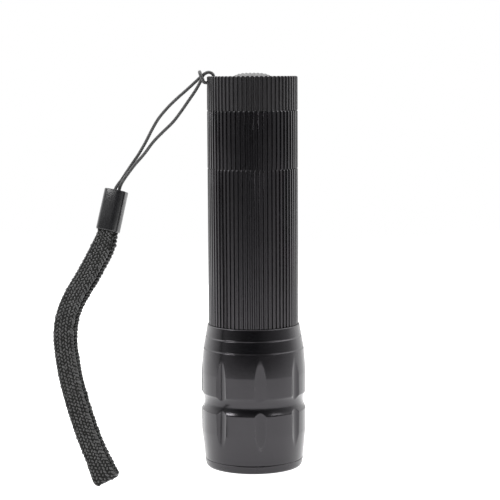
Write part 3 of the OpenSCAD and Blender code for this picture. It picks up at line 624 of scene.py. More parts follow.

# %% [markdown]
# ## Core of the strap
# Between its stitches a knit shows the inside of the tube, where shade falls. A plain band, a little smaller
# than the strap and painted near black as that shade, stands for it. It is lofted from flat rings with
# half-round edges, and the same form later gives the stitches their places.


# %% Core of the strap
def stadium(w, t, shares):
    """Points and outward directions round a flat band with half-round edges, at shares of its girth."""
    flat, arc = w - t, math.pi * t / 2
    where, facing = [], []
    for q in (np.asarray(shares) % 1) * 2 * (flat + arc):
        # The second half of the girth is the first one turned by half a turn
        half_turn = 1 if q < flat + arc else -1
        q = q if half_turn == 1 else q - flat - arc
        if q < flat:
            place, way = (flat / 2 - q, t / 2), (0, 1)
        else:
            a = math.pi / 2 + (q - flat) / (t / 2)
            way = (math.cos(a), math.sin(a))
            place = (-flat / 2 + t / 2 * way[0], t / 2 * way[1])
        where.append(half_turn * np.array(place))
        facing.append(half_turn * np.array(way))
    return np.array(where), np.array(facing)


CORE_SIDES = 24
CORE_INSET = 0.26
core_shares = np.arange(CORE_SIDES) / CORE_SIDES
rings = []
for p, a, o, w in zip(strap_path, strap_across, strap_out, strap_width):
    flat, _ = stadium(w - 2 * CORE_INSET, STRAP_T - 2 * CORE_INSET, core_shares)
    rings.append(p + flat[:, :1] * a + flat[:, 1:] * o)
core_faces = tube_faces(len(rings), CORE_SIDES)
core_mesh = build_mesh("wrist_strap_core", np.vstack(rings), core_faces, smooth_angle=60)
strap_shade_core = add_piece("wrist_strap_core", core_mesh, shade_core_finish, "tail", "wrist_strap")

# %% [markdown]
# ## Knit
# A knit is rows of V stitches, and every stitch has two legs. A bump map would leave the outline smooth, so
# each leg is a small bent body, and Geometry Nodes puts one on every place. Neighbouring legs are half a
# course apart and lean opposite ways, and a little luck in place, lean and size keeps them from a grid.

# %% Places for the stitches
# Columns of stitches round the strap, half a leg's thickness, and how much deeper every second leg lies
WALES, LEG_R, LEG_DROP = 7, 0.36, 0.06
# Luck of a leg: how far it slips, how far it sinks, how much its lean varies, and its size
SLIP, SINK, LEAN_SPREAD, SIZE_RANGE = 0.05, 0.03, 0.25, (0.80, 1.10)


def mark_points(mesh, label, values):
    """Keeps a number or a vector on each point, for trees and materials to read."""
    values = np.array(values, np.float32)
    kind, field = ("FLOAT_VECTOR", "vector") if values.ndim == 2 else ("FLOAT", "value")
    layer = mesh.attributes.new(label, kind, "POINT")
    layer.data.foreach_set(field, values.ravel())


net_points, net_along, net_out, net_lean, net_size = [], [], [], [], []
luck = np.random.default_rng(7)
shares = (np.arange(2 * WALES) + 0.5) / (2 * WALES)
path_mid = (strap_path[1:] + strap_path[:-1]) / 2
path_aim = unit(strap_path[1:] - strap_path[:-1])
for i, (p, d) in enumerate(zip(path_mid, path_aim)):
    a, o = strap_across[i], strap_out[i]
    flat, facing = stadium(strap_width[i] - 2 * LEG_R, STRAP_T - 2 * LEG_R, shares)
    for j in range(2 * WALES):
        lean = 1.0 if j % 2 else -1.0
        out = facing[j, 0] * a + facing[j, 1] * o
        slip = luck.normal(0, SLIP, 2) + (0, COURSE / 2 * (j % 2))
        drop = LEG_DROP * (1 - lean) / 2 + abs(luck.normal(0, SINK))
        net_points.append(p + (flat[j, 0] + slip[0]) * a + flat[j, 1] * o + slip[1] * d - drop * out)
        net_out.append(out)
        net_along.append(d)
        net_lean.append(lean + luck.normal(0, LEAN_SPREAD))
        net_size.append(luck.uniform(*SIZE_RANGE))
net = bpy.data.meshes.new("stitch_places")
net.from_pydata((np.array(net_points) * MM).tolist(), [], [])
mark_points(net, "heading", net_along)
mark_points(net, "facing", net_out)
mark_points(net, "lean", net_lean)
mark_points(net, "size", net_size)
print("stitch legs:", len(net_points))

# %% One leg of a stitch
LEG_LEN = 1.65
LEG_WIDTH = 0.36
LEG_BOW = 0.30
LEG_RINGS, LEG_SIDES = 5, 6
# The leg is an ellipsoid that is cut off at this share of its length
LEG_CUT = 0.94
leg_points = []
for x in np.linspace(-1, 1, LEG_RINGS):
    girth = math.sqrt(1 - (LEG_CUT * x) ** 2)
    for a in even_turn(LEG_SIDES):
        leg_points.append((x * LEG_LEN / 2, LEG_WIDTH * girth * math.cos(a),
                           LEG_R * girth * math.sin(a) - LEG_BOW * x * x))
leg_mesh = build_mesh("stitch_leg", leg_points, tube_faces(LEG_RINGS, LEG_SIDES), smooth_angle=80)
leg = put("stitch_leg", leg_mesh)
print("stitch leg:", len(leg_mesh.polygons), "faces")

# %% Tree: knit
LEG_LEAN = math.radians(38)
knit_tree, g_in, g_out = start_group(
    "knit",
    "GeometryNodeTree",
    [("Places", "NodeSocketGeometry", None), ("Leg", "NodeSocketObject", None),
     ("Lean", "NodeSocketFloat", LEG_LEAN), ("Yarn", "NodeSocketMaterial", None)],
    [("Knit", "NodeSocketGeometry")],
)


def stored(tree, label, kind):
    """What mark_points kept under this label."""
    node = add(tree, "GeometryNodeInputNamedAttribute", {"Name": label}, data_type=kind)
    return node.outputs["Attribute"]


stand = add(knit_tree, "FunctionNodeAxesToRotation",
            {"Primary Axis": stored(knit_tree, "facing", "FLOAT_VECTOR"),
             "Secondary Axis": stored(knit_tree, "heading", "FLOAT_VECTOR")},
            primary_axis="Z", secondary_axis="X")
tilt = calc(knit_tree, "MULTIPLY", stored(knit_tree, "lean", "FLOAT"), g_in["Lean"])
about = add(knit_tree, "FunctionNodeAxisAngleToRotation", {"Axis": (0, 0, 1), "Angle": tilt})
turned = add(knit_tree, "FunctionNodeRotateRotation",
             {"Rotation": stand.outputs[0], "Rotate By": about.outputs[0]}, rotation_space="LOCAL")
shape = add(knit_tree, "GeometryNodeObjectInfo", {"Object": g_in["Leg"]})
placed = add(knit_tree, "GeometryNodeInstanceOnPoints",
             {"Points": g_in["Places"], "Instance": shape.outputs["Geometry"], "Rotation": turned.outputs[0],
              "Scale": stored(knit_tree, "size", "FLOAT")})
solid = add(knit_tree, "GeometryNodeRealizeInstances", {"Geometry": placed.outputs[0]})
dressed = add(knit_tree, "GeometryNodeSetMaterial", {"Geometry": solid.outputs[0], "Material": g_in["Yarn"]})
knit_tree.links.new(dressed.outputs[0], g_out["Knit"])
print("tree:", knit_tree.name, "with", len(knit_tree.nodes), "nodes")

# %% Stitches on the strap
stitches = put("wrist_strap_knit", net)
run_tree(stitches, knit_tree, {"Leg": leg, "Lean": LEG_LEAN, "Yarn": strap_finish})
settle(stitches)
bpy.data.objects.remove(leg)
stitches.data.shade_smooth()
belong(stitches, "tail", "wrist_strap")

# %% [markdown]
# ## What the cords are
# The twisted cord and the strap are the two free cords. The photo shows both nearly from end to end, so
# their real lengths are the routes' own. The strap is flat, and as a cord its thickness is about the width
# of its core.

print("declared:", cord.name, "and", strap_shade_core.name)

# %% [markdown]
# ## Ribbed barrel, collar and cap
# Barrel, collar and cap have straight ribs all round for grip. The ribs follow one rule, so one tree
# makes all three: it spins a profile into a grid and pulls every column in between the ribs. At the
# bevelled ends the profile is already smaller than the ribs, and there the smaller radius wins.

# %% Tree: ribbed tube
ribbed_tree, g_in, g_out = start_group(
    "ribbed_tube",
    "GeometryNodeTree",
    [("Profile", "NodeSocketGeometry", None), ("Ribs", "NodeSocketInt", 60),
     ("Columns per rib", "NodeSocketInt", 24), ("Rib radius", "NodeSocketFloat", 0.0135),
     ("Rib depth", "NodeSocketFloat", 0.00045), ("Finish", "NodeSocketMaterial", None)],
    [("Tube", "NodeSocketGeometry")],
)
# Half the land and the end of the flank, in shares of the ribs' pitch, and the rounding of both
RIB_LAND, RIB_FOOT, RIB_ROUND = 0.15, 0.29, 0.20


def whole(tree, operation, *values):
    """Result of one sum with whole numbers."""
    return add(tree, "FunctionNodeIntegerMath", dict(enumerate(values)), operation=operation).outputs[0]


t = ribbed_tree
rows = add(t, "GeometryNodeAttributeDomainSize", {"Geometry": g_in["Profile"]}).outputs["Point Count"]
columns = whole(t, "MULTIPLY", g_in["Ribs"], g_in["Columns per rib"])
grid = add(t, "GeometryNodeMeshGrid", {"Vertices X": whole(t, "ADD", columns, 1), "Vertices Y": rows})
index = add(t, "GeometryNodeInputIndex").outputs[0]
column = whole(t, "DIVIDE_FLOOR", index, rows)
row = whole(t, "FLOORED_MODULO", index, rows)
position = add(t, "GeometryNodeInputPosition").outputs[0]
point = add(t, "GeometryNodeSampleIndex", {"Geometry": g_in["Profile"], "Value": position, "Index": row},
            data_type="FLOAT_VECTOR")
place = add(t, "ShaderNodeSeparateXYZ", {0: point.outputs[0]}).outputs
angle = calc(t, "MULTIPLY", calc(t, "DIVIDE", column, columns), 2 * math.pi)
phase = calc(t, "FRACT", calc(t, "DIVIDE", column, g_in["Columns per rib"]))
from_rib = calc(t, "PINGPONG", phase, 0.5)
ramp = calc(t, "DIVIDE", calc(t, "SUBTRACT", from_rib, RIB_LAND), RIB_FOOT - RIB_LAND)
valley = calc(t, "SMOOTH_MIN", calc(t, "SMOOTH_MAX", ramp, 0.0, RIB_ROUND), 1.0, RIB_ROUND)
rib_r = calc(t, "SUBTRACT", g_in["Rib radius"], calc(t, "MULTIPLY", valley, g_in["Rib depth"]))
radius = calc(t, "MINIMUM", place[0], rib_r)
spot = add(t, "ShaderNodeCombineXYZ",
           {0: calc(t, "MULTIPLY", radius, calc(t, "COSINE", angle)),
            1: calc(t, "MULTIPLY", radius, calc(t, "SINE", angle)), 2: place[2]})
marked = add(t, "GeometryNodeStoreNamedAttribute",
             {"Geometry": grid.outputs["Mesh"], "Name": "edge", "Value": calc(t, "SUBTRACT", 1.0, valley)},
             data_type="FLOAT", domain="POINT")
moved = add(t, "GeometryNodeSetPosition", {"Geometry": marked.outputs[0], "Position": spot.outputs[0]})
joined = add(t, "GeometryNodeMergeByDistance", {"Geometry": moved.outputs[0], "Distance": MERGE_DIST})
solid = add(t, "GeometryNodeRealizeInstances", {"Geometry": joined.outputs[0]})
dressed = add(t, "GeometryNodeSetMaterial", {"Geometry": solid.outputs[0], "Material": g_in["Finish"]})
t.links.new(dressed.outputs[0], g_out["Tube"])
print("tree:", t.name, "with", len(t.nodes), "nodes")


# %% Ribbed piece
BARREL_R, RIB_DEPTH, RIB_COLUMNS = 13.5, 0.45, 36
RIB_SMOOTH_ANGLE = 34
# Bevels of an upper end, a lower end and the rim: size inwards and along
UP_BEVEL, DOWN_BEVEL, RIM_BEVEL, BEVEL_STEPS = (0.24, 0.3), (0.12, 0.12), (0.35, 0.25), 3


def lower_end(z, bevel=DOWN_BEVEL):
    """Rows from a lower face out to the ribs."""
    return [(BARREL_R - bevel[0] * (1 - x), z + bevel[1] * x) for x in np.linspace(0, 1, BEVEL_STEPS + 1)]


def upper_end(z, bevel=UP_BEVEL):
    """Rows from the ribs in to an upper face."""
    return [(BARREL_R - bevel[0] * x, z - bevel[1] * (1 - x)) for x in np.linspace(0, 1, BEVEL_STEPS + 1)]


def ribbed_piece(name, profile, ribs, finish, body, node, cutter=None):
    """Runs the tree on a profile of radius and height, and cuts a hole where there is a cutter."""
    mesh = bpy.data.meshes.new(name)
    closed = [*profile, profile[0]]
    mesh.from_pydata([(r * MM, 0, z * MM) for r, z in closed], [], [])
    piece = put(name, mesh)
    run_tree(piece, ribbed_tree, {"Ribs": ribs, "Columns per rib": RIB_COLUMNS, "Rib radius": BARREL_R * MM,
                                  "Rib depth": RIB_DEPTH * MM, "Finish": finish})
    if cutter:
        hole = piece.modifiers.new("hole", "BOOLEAN")
        hole.object = cutter
        hole.solver = "EXACT"
    settle(piece)
    piece.data.shade_smooth()
    piece.data.set_sharp_from_angle(angle=math.radians(RIB_SMOOTH_ANGLE))
    belong(piece, body, node)


# %% Barrel grip and collar
BARREL_RIBS, COLLAR_RIBS, CAP_RIBS = 62, 57, 62
Z_RIM, Z_COLLAR, Z_CAP, Z_TOP = 43.1, 90.0, 107.2, 117.3
ribbed_piece(
    "barrel_grip", [(12.3, Z_RIM), *lower_end(Z_RIM), *upper_end(Z_COLLAR), (12.3, Z_COLLAR)],
    BARREL_RIBS, barrel_finish, "barrel", "barrel")
ribbed_piece(
    "tail_collar_body",
    [(12.4, Z_COLLAR), *lower_end(Z_COLLAR), *upper_end(Z_CAP), (10.8, Z_CAP), (10.8, 111.2), (7.5, 111.2),
     (7.5, 104.1), (10.4, 104.1), (10.4, 98.4), (12.26, 98.4), (12.26, Z_COLLAR + 0.14)],
    COLLAR_RIBS, collar_finish, "tail", "tail_collar")

# %% [markdown]
# ## Tail cap
# The cap is the third ribbed ring. A small hole through its wall carries the lanyard, so this piece
# also gets a Boolean cut before it is settled into a plain mesh.

# %% Tail cap with its lanyard hole
HOLE_R, HOLE_Z, HOLE_FLARE = 1.3, 115.4, 0.25
hole_rows = [(0, 10.5), (HOLE_R, 10.5), (HOLE_R, 12.9), (HOLE_R + HOLE_FLARE, 13.4),
             (HOLE_R + HOLE_FLARE, 15.5), (0, 15.5)]
hole_mesh = spin("hole", hole_rows, even_turn(40))
hole_mesh.transform(Matrix.Translation((0, 0, HOLE_Z * MM)) @ Matrix.Rotation(math.radians(-90), 4, "Y"))
hole_cutter = put("hole_cutter", hole_mesh)
ribbed_piece(
    "tail_cap_body",
    [(10.86, Z_CAP), *lower_end(Z_CAP), *upper_end(Z_TOP, RIM_BEVEL), (12.55, Z_TOP), (12.4, Z_TOP - 0.04),
     (12.32, Z_TOP - 0.12), (12.3, Z_TOP - 0.25), (12.3, 113.9), (12.2, 113.68), (12.0, 113.6), (6.7, 113.6),
     (6.55, 113.55), (6.5, 113.4), (6.5, 112.2), (10.86, 112.2)],
    CAP_RIBS, cap_finish, "tail", "tail_cap", hole_cutter)
bpy.data.objects.remove(hole_cutter)

# %% [markdown]
# ## Barrel core
# Inside the grip is the barrel's core. Its plain neck, on which the head slides, has two grooves for
# rubber rings, and its other end has a thread for the collar. The thread shows when the tail is
# unscrewed, so it is cut as a real helix: the radius of a row depends on its height and on the angle.

# %% Barrel core with its thread
THREAD_FROM, THREAD_TO, THREAD_PITCH, THREAD_DEPTH = 92.5, 97.7, 1.0, 0.42
THREAD_R, THREAD_STEP, THREAD_FADE = 12.2, 0.11, 0.5
# The thread's wave is made steeper by a factor and lowered, and then cut off flat at crest and root
THREAD_STEEP, THREAD_LOWER = 1.6, 0.3
NECK_R = 12.0
# A groove's lip: its height, how far it goes in, and the lean of the groove's side
LIP_H, LIP_IN, SIDE_LEAN = 0.08, 0.06, 0.02


def groove(r, z, half_width, bottom):
    """Rows of a groove for a rubber ring, with a small bevel at each lip."""
    return [(r, z - half_width - LIP_H), (r - LIP_IN, z - half_width), (bottom, z - half_width + SIDE_LEAN),
            (bottom, z + half_width - SIDE_LEAN), (r - LIP_IN, z + half_width), (r, z + half_width + LIP_H)]


# Radius and height, from the front end up the outside and back down the bore
core_rows = [(9.81, 17.6), (11.7, 17.6), (11.92, 17.68), (NECK_R, 17.9),
             *groove(NECK_R, 28.5, 0.7, 10.7), *groove(NECK_R, 31.1, 0.7, 10.7),
             (NECK_R, 43.1), (12.4, 43.3), (12.4, 89.8), (THREAD_R, 90.0),
             *groove(THREAD_R, 91.6, 0.4, 11.48)]
core_rows += [(THREAD_R, z) for z in np.arange(THREAD_FROM, THREAD_TO, THREAD_STEP)]
core_rows += [(12.0, 97.8), (11.8, 98.0), (10.92, 98.0), (10.92, 45.0), (9.81, 45.0)]


def thread(turn, r, z):
    """Cuts the helix into the rows between THREAD_FROM and THREAD_TO."""
    wave = 2 * np.abs((z / THREAD_PITCH - turn / (2 * math.pi)) % 1 - 0.5)
    wave = np.clip(THREAD_STEEP * wave - THREAD_LOWER, 0, 1)
    fade = np.clip((z - THREAD_FROM) / THREAD_FADE, 0, 1) * np.clip((THREAD_TO - z) / THREAD_FADE, 0, 1)
    cut = (r == THREAD_R) & (z >= THREAD_FROM) & (z <= THREAD_TO)
    return r - cut * THREAD_DEPTH * wave * fade, z


add_piece("barrel_core", spin("barrel_core", core_rows, even_turn(120), thread),
          barrel_finish, "barrel", "barrel")

# %% [markdown]
# ## Zoom head
# The head is turned to a slim drum with a rounded waist, and eight flutes are milled down its side. Its
# skin is one rule: at every angle and height, the smallest of the turned radius, the waist's arc
# and the flute's arc. A soft minimum rounds the edges where two of them meet, and the same number marks
# these edges for wear.

# %% Head
HEAD_R, SEAM_R, RIM_R = 15.8, 14.95, 13.9
BEZEL_H, Z_KINK, Z_WAIST, Z_SHOULDER = 2.4, 11.0, 20.1, 28.7
WAIST_W, WAIST_DEPTH = 5.0, 0.8
FLUTES, FLUTE_R, FLUTE_TURN = 8, 3.8, 7
FLUTE_Z, FLUTE_DEPTHS = (8.0, 17.6, 22.6, 33.0), (0.34, 0.55, 0.55, 0.36)
TAPER_SLOPE, TAPER_BEND = 0.06, 0.003
RING_LINES = (36.2, 39.8)
LINE_STEPS, LINE_DEPTHS = (-0.45, -0.02, 0.18, 0.22), (0, 0.28, 0.28, 0)
WAIST_R = ((WAIST_W / 2) ** 2 + WAIST_DEPTH ** 2) / (2 * WAIST_DEPTH)
EDGE_ROUND, LIP_ROUND = 0.1, 0.2
# Where a cutter doesn't reach, it leaves this radius, which is never the smallest
NO_CUT = 99.0
# The front cone starts this far above the seam
SEAM_EDGE_H = 0.2


def turned_radius(z):
    """Radius before waist and flutes are cut: front cone, drum, rear taper and the two ring lines."""
    seam = BEZEL_H + SEAM_EDGE_H
    front = SEAM_R + (HEAD_R - SEAM_R) * (z - seam) / (Z_KINK - seam)
    t = np.clip(z, Z_SHOULDER, RING_LINES[0]) - Z_SHOULDER
    rear = HEAD_R - TAPER_SLOPE * t - TAPER_BEND * t ** 2
    cone = (z - RING_LINES[0]) / (Z_RIM - RING_LINES[0])
    rear = np.where(cone > 0, rear + (RIM_R - rear) * cone, rear)
    r = np.where(z < Z_KINK, front, np.where(z > Z_SHOULDER, rear, HEAD_R))
    for line in RING_LINES:
        r = r - np.interp(z - line, LINE_STEPS, LINE_DEPTHS)
    return r


def round_cut(centre, size, aside):
    """Radius that a round cutter leaves at a distance aside from its middle."""
    bottom = centre - np.sqrt(np.maximum(size ** 2 - aside ** 2, 0))
    return np.where(aside < size, bottom, NO_CUT)


def soft_min(a, b, size):
    """Smaller of two with a rounded edge where they meet, and a mark on that edge."""
    h = np.clip(0.5 + 0.5 * (b - a) / size, 0, 1)
    return b * (1 - h) + a * h - size * h * (1 - h), 4 * h * (1 - h)


def head_skin(turn, z):
    """Radius and edge mark of the head's outside."""
    waist = round_cut(HEAD_R - WAIST_DEPTH + WAIST_R, WAIST_R, np.abs(z - Z_WAIST))
    pitch = 2 * math.pi / FLUTES
    off = (turn - math.radians(FLUTE_TURN - 90) + pitch / 2) % pitch - pitch / 2
    reach = HEAD_R - np.interp(z, FLUTE_Z, FLUTE_DEPTHS) + FLUTE_R
    flute = round_cut(reach * np.cos(off), FLUTE_R, reach * np.sin(np.abs(off)))
    r, edge_a = soft_min(turned_radius(z), waist, np.where(z < Z_WAIST, LIP_ROUND, EDGE_ROUND))
    r, edge_b = soft_min(r, flute, EDGE_ROUND)
    return r, np.maximum(edge_a, edge_b)


def stretch(a, b, step):
    """Heights from a up to, but without, b."""
    return np.linspace(a, b, max(2, int(round((b - a) / step)) + 1))[:-1]


# Heights of the skin's rows, close together at the waist and at the ring lines
LINE_ROWS = (-0.48, -0.45, -0.31, -0.16, -0.02, 0.08, 0.18, 0.2, 0.22, 0.25)
lines = [line + s for line in RING_LINES for s in LINE_ROWS]
skin_z = np.unique(np.round(np.concatenate([
    stretch(2.7, Z_KINK - 0.1, 0.25), [Z_KINK - 0.1, Z_KINK + 0.1], stretch(Z_KINK + 0.3, 16.8, 0.6),
    stretch(16.8, 23.4, 0.14), stretch(23.4, Z_SHOULDER - 0.2, 0.6), [Z_SHOULDER - 0.08, Z_SHOULDER + 0.08],
    stretch(Z_SHOULDER + 0.25, 35.6, 0.25), stretch(35.6, 42.7, 0.5), lines, [42.75]]), 3))
# Radius and height: rounded front edge, skin, rounded rear edge, and the bore with its steps. A radius
# of 0 stands for the skin, which head_skin fills in.
front_edge = [(14.62, 2.4), (14.76, 2.42), (14.88, 2.5)]
rear_edge = [(13.94, 42.88), (13.84, 43.02), (13.68, 43.09), (13.5, 43.1), (12.3, 43.1), (12.16, 43.04),
             (12.08, 42.9)]
inside = [(12.08, 27.15), (12.5, 27.15), (12.5, 11.4), (13.1, 11.4), (13.1, 2.6), (13.3, 2.4)]
head_rows = [*front_edge, *[(0, z) for z in skin_z], *rear_edge, *inside]


def head_shape(turn, r, z):
    """Fills in the skin's radius."""
    skin, _ = head_skin(turn + 0 * z, z)
    return np.where(r == 0, skin, r), z


# Columns are close together at a flute and wide apart between two
FLUTE_HALF_DEG, NEAR_COLUMNS, FAR_COLUMNS = 8.4, 49, 7
# Only the outside gets edge marks
OUTSIDE_R = 13.4
sector = 2 * math.pi / FLUTES
near = np.radians(np.linspace(-FLUTE_HALF_DEG, FLUTE_HALF_DEG, NEAR_COLUMNS))
far = np.linspace(near[-1], sector + near[0], FAR_COLUMNS + 2)[1:-1]
one_flute = np.concatenate([near, far])
first_flute = math.radians(FLUTE_TURN - 90)
head_turns = np.concatenate([first_flute + k * sector + one_flute for k in range(FLUTES)])
head_mesh = spin("zoom_head_shell", head_rows, head_turns, head_shape)
co = np.array([v.co for v in head_mesh.vertices]) / MM
_, edge = head_skin(np.arctan2(co[:, 1], co[:, 0]), co[:, 2])
mark_points(head_mesh, "edge", edge * (np.hypot(co[:, 0], co[:, 1]) > OUTSIDE_R))
add_piece("zoom_head_shell", head_mesh, head_finish, "zoom_head", "head_shell")

# %% [markdown]
# ## Bezel and lens
# The bezel is a turned ring that screws into the head and clamps the lens. A fine seam divides it from
# the head. The lens behind it is a thick plano-convex one, as a zoom flashlight has.

# %% Bezel
# Radius, height and round of each corner
bezel_rows = soften([
    (11.6, 0, 0.12), (14.3, 0, 0.2), (14.65, 0.6, 0.25), (14.95, 2.2, 0.12), (14.75, 2.4, 0.08),
    (13.04, 2.4, 0), (13.04, 8.4, 0.1), (11.3, 8.4, 0.1), (11.3, 0.3, 0.12)])
add_piece("bezel_ring_turned", spin("bezel_ring_turned", bezel_rows, even_turn(160)),
          bezel_finish, "zoom_head", "bezel_ring")

# %% Lens
# The domed side is part of a ball
DOME_R, BALL_R, BALL_Z, DOME_STEPS = 11.2, 12.46, 14.86, 28
dome = [(BALL_R * math.sin(a), BALL_Z - BALL_R * math.cos(a))
        for a in np.linspace(0, math.asin(DOME_R / BALL_R), DOME_STEPS)]
lens_rows = [*dome, (13.0, 9.42), (13.0, 11.38), (12.9, 11.4), (0, 11.4)]
add_piece("zoom_lens", spin("zoom_lens", lens_rows, even_turn(120), loop_rows=False),
          lens_finish, "zoom_head", "lens")

# %% [markdown]
# ## Switch boot
# The rubber boot covers the tail switch. Its dome stands just above the cap's rim, and small pyramids on it
# give the thumb grip. It flattens towards its flange when the button is pressed.

# %% Boot
BOOT_R, BOOT_CROWN_Z, BOOT_CROWN_H, BOOT_WALL, CROWN_POWER = 6.4, 114.2, 4.1, 1.2, 0.6
GRIP_PITCH, GRIP_HEIGHT, GRIP_R, GRIP_FADE = 1.15, 0.22, 5.0, 0.6
# Each pyramid is made this much steeper and cut off flat on top
GRIP_STEEP = 1.5
# The dome's side is stepped by angle up to here, and its top by radius
SIDE_DEG, SIDE_STEPS, OUTSIDE_STEP, INSIDE_STEP = 50, 14, 0.15, 0.6
BOOT_FOOT = 111.2


def crown_z(r, radius, height):
    """Height of the squared dome over its foot."""
    return height * (1 - (np.asarray(r) / radius) ** (2 / CROWN_POWER)) ** (CROWN_POWER / 2)


def crown_rows(radius, height, step):
    """Rows of the squared dome from its foot to its middle."""
    side = [(radius * math.cos(a) ** CROWN_POWER, BOOT_CROWN_Z + height * math.sin(a) ** CROWN_POWER)
            for a in np.radians(np.linspace(0, SIDE_DEG, SIDE_STEPS)[1:])]
    top = np.linspace(side[-1][0], 0, int(side[-1][0] / step) + 1)[1:]
    return side + [(r, BOOT_CROWN_Z + crown_z(r, radius, height)) for r in top]


# Radius and height, from the flange up the outside and back down inside
boot_rows = [(5.2, BOOT_FOOT), (10.7, BOOT_FOOT), (10.76, 111.3), (10.76, 112.1), (10.7, 112.2),
             (6.6, 112.2), (6.46, 112.26), (6.4, 112.4), (6.4, BOOT_CROWN_Z)]
boot_rows += crown_rows(BOOT_R, BOOT_CROWN_H, OUTSIDE_STEP)
outside_rows = len(boot_rows)
boot_rows += crown_rows(BOOT_R - BOOT_WALL, BOOT_CROWN_H - BOOT_WALL, INSIDE_STEP)[::-1]
boot_rows.append((BOOT_R - BOOT_WALL, BOOT_CROWN_Z))


def grip(turn, r, z):
    """Sinks the outside between rows of small pyramids."""
    x, y = r * np.cos(turn) / GRIP_PITCH, r * np.sin(turn) / GRIP_PITCH
    peak = 1 - 2 * np.maximum(np.abs(x % 1 - 0.5), np.abs(y % 1 - 0.5))
    fade = np.clip((GRIP_R - r) / GRIP_FADE, 0, 1) * (np.arange(r.shape[1]) < outside_rows)
    return r, z + fade * GRIP_HEIGHT * (np.clip(GRIP_STEEP * peak, 0, 1) - 1)


boot = add_piece("switch_boot_rubber", spin("switch_boot_rubber", boot_rows, even_turn(160), grip),
                 boot_finish, "tail", "switch_boot")
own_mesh(boot)

# %% [markdown]
# ## Switch spring
# A short spring under the button pushes it back. The boot hides it, but each press squeezes it, so it is
# a wire tube along a helix that flattens with the same joint as the boot, towards the switch it stands on.

# %% Switch spring
SPRING_R, SPRING_TURNS, WIRE_R = 2.2, 2.5, 0.2
SPRING_FOOT, SPRING_TOP, SPRING_SEAT = 110.1, 113.2, 0.05
SPRING_STEPS, WIRE_SIDES = 61, 8
share = np.linspace(0, 1, SPRING_STEPS)
turn = 2 * math.pi * SPRING_TURNS * share
out = np.stack([np.cos(turn), np.sin(turn), 0 * turn], axis=1)
helix = SPRING_R * out
wire_ends = (SPRING_FOOT + SPRING_SEAT + WIRE_R, SPRING_TOP - SPRING_SEAT - WIRE_R)
helix[:, 2] = np.interp(share, (0, 1), wire_ends)
steel = moulded("zinc_steel", (0.50, 0.50, 0.52), (0.66, 0.66, 0.68), 0.32, 6000.0, 0.1, 1.0)
spring_mesh = build_mesh("switch_spring_wire", *tube(helix, out, WIRE_R, WIRE_SIDES), smooth_angle=60)
spring = add_piece("switch_spring_wire", spring_mesh, steel, "tail", "switch_spring")
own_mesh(spring)

# %% [markdown]
# ## Inner pieces
# The inner pieces are right as CAD solids, so they stay and only get finishes. They show through the lens,
# or when the tail is unscrewed.

# %% Finishes of the inner pieces
rubber = moulded("seal_rubber", (0.010, 0.010, 0.010), (0.018, 0.018, 0.018), 0.6, 7000.0, 0.2)
turned_metal = moulded("turned_aluminium", (0.62, 0.62, 0.64), (0.78, 0.78, 0.79), 0.34, 5000.0, 0.12, 1.0)
brass = moulded("plated_brass", (0.62, 0.47, 0.18), (0.78, 0.62, 0.28), 0.28, 6000.0, 0.08, 1.0)
black_plastic = moulded("cartridge_plastic", (0.030, 0.030, 0.033), (0.050, 0.050, 0.054), 0.5)
cell_wrap = moulded("cell_wrap", (0.09, 0.16, 0.27), (0.14, 0.23, 0.36), 0.33, 4000.0, 0.08, 0.4)
INNER = {
    rubber: ["lens_gasket", "neck_o_ring_front", "neck_o_ring_rear", "tail_o_ring"],
    turned_metal: ["led_pill", "switch_retainer"],
    brass: ["driver_spring", "front_contact", "front_link", "rear_contact", "rear_link", "cell_springs",
            "tail_spring"],
    steel: ["cartridge_screws"],
    black_plastic: ["cartridge_body", "cartridge_end", "driver_parts", "switch_body"],
    moulded("white_mask", (0.74, 0.74, 0.71), (0.84, 0.84, 0.82), 0.45): ["led_board"],
    moulded("phosphor", (0.78, 0.60, 0.06), (0.88, 0.74, 0.16), 0.6): ["led_emitter"],
    clear("dome_silicone", (0.96, 0.94, 0.82), 1.41, 0.02): ["led_dome"],
    moulded("lead_red", (0.40, 0.02, 0.02), (0.56, 0.04, 0.04), 0.5): ["led_leads"],
    moulded("green_mask", (0.02, 0.15, 0.06), (0.04, 0.24, 0.10), 0.42): ["driver_board", "switch_board"],
    cell_wrap: ["aaa_cell_1", "aaa_cell_2", "aaa_cell_3"],
    moulded("white_plastic", (0.70, 0.70, 0.67), (0.82, 0.82, 0.79), 0.5): ["switch_plunger"],
}
for finish, nodes in INNER.items():
    for node in nodes:
        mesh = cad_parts[node].data
        mesh.materials.clear()
        mesh.materials.append(finish)
print("inner pieces finished:", sum(len(n) for n in INNER.values()))

# %% [markdown]
# ## Table
# The flashlight stands on a white surface that is so bright that it melts into the background. It could be
# one evenly lit plane, but its edge would show from other sides, so it glows most round the foot and fades
# outwards. From below it is see-through, so that the lens can be looked at.

# %% Table
# Radius in metres, and how far the table lies below the bezel, in millimetres
TABLE_R, TABLE_DROP = 0.42, 0.05
# The table glows most round the object's foot, and half as much TABLE_FALL metres further out
TABLE_GLOW, TABLE_FALL, TABLE_FOOT = 1.0, 0.2, 0.03
GLOW_CENTRE = (0, -0.05, 0)
floor_rows = [(TABLE_R / MM, -TABLE_DROP), (0, -TABLE_DROP)]
floor_mesh = spin("table", floor_rows, even_turn(96), loop_rows=False)
floor = put("table", floor_mesh)
floor_finish, tree, skin, where = new_material("table_white")
paper = use_group(tree, grain_tree, {"Vector": where, "Grain": 500.0, "Blotch": 8.0})
paper_white = blend_colour(tree, paper["Mottle"], (0.59, 0.59, 0.59), (0.61, 0.61, 0.61))
tree.links.new(paper_white, skin.inputs["Base Color"])
skin.inputs["Roughness"].default_value = 0.7
away = add(tree, "ShaderNodeVectorMath", {0: where, 1: GLOW_CENTRE}, operation="DISTANCE")
past_foot = calc(tree, "MAXIMUM", calc(tree, "SUBTRACT", away.outputs["Value"], TABLE_FOOT), 0.0)
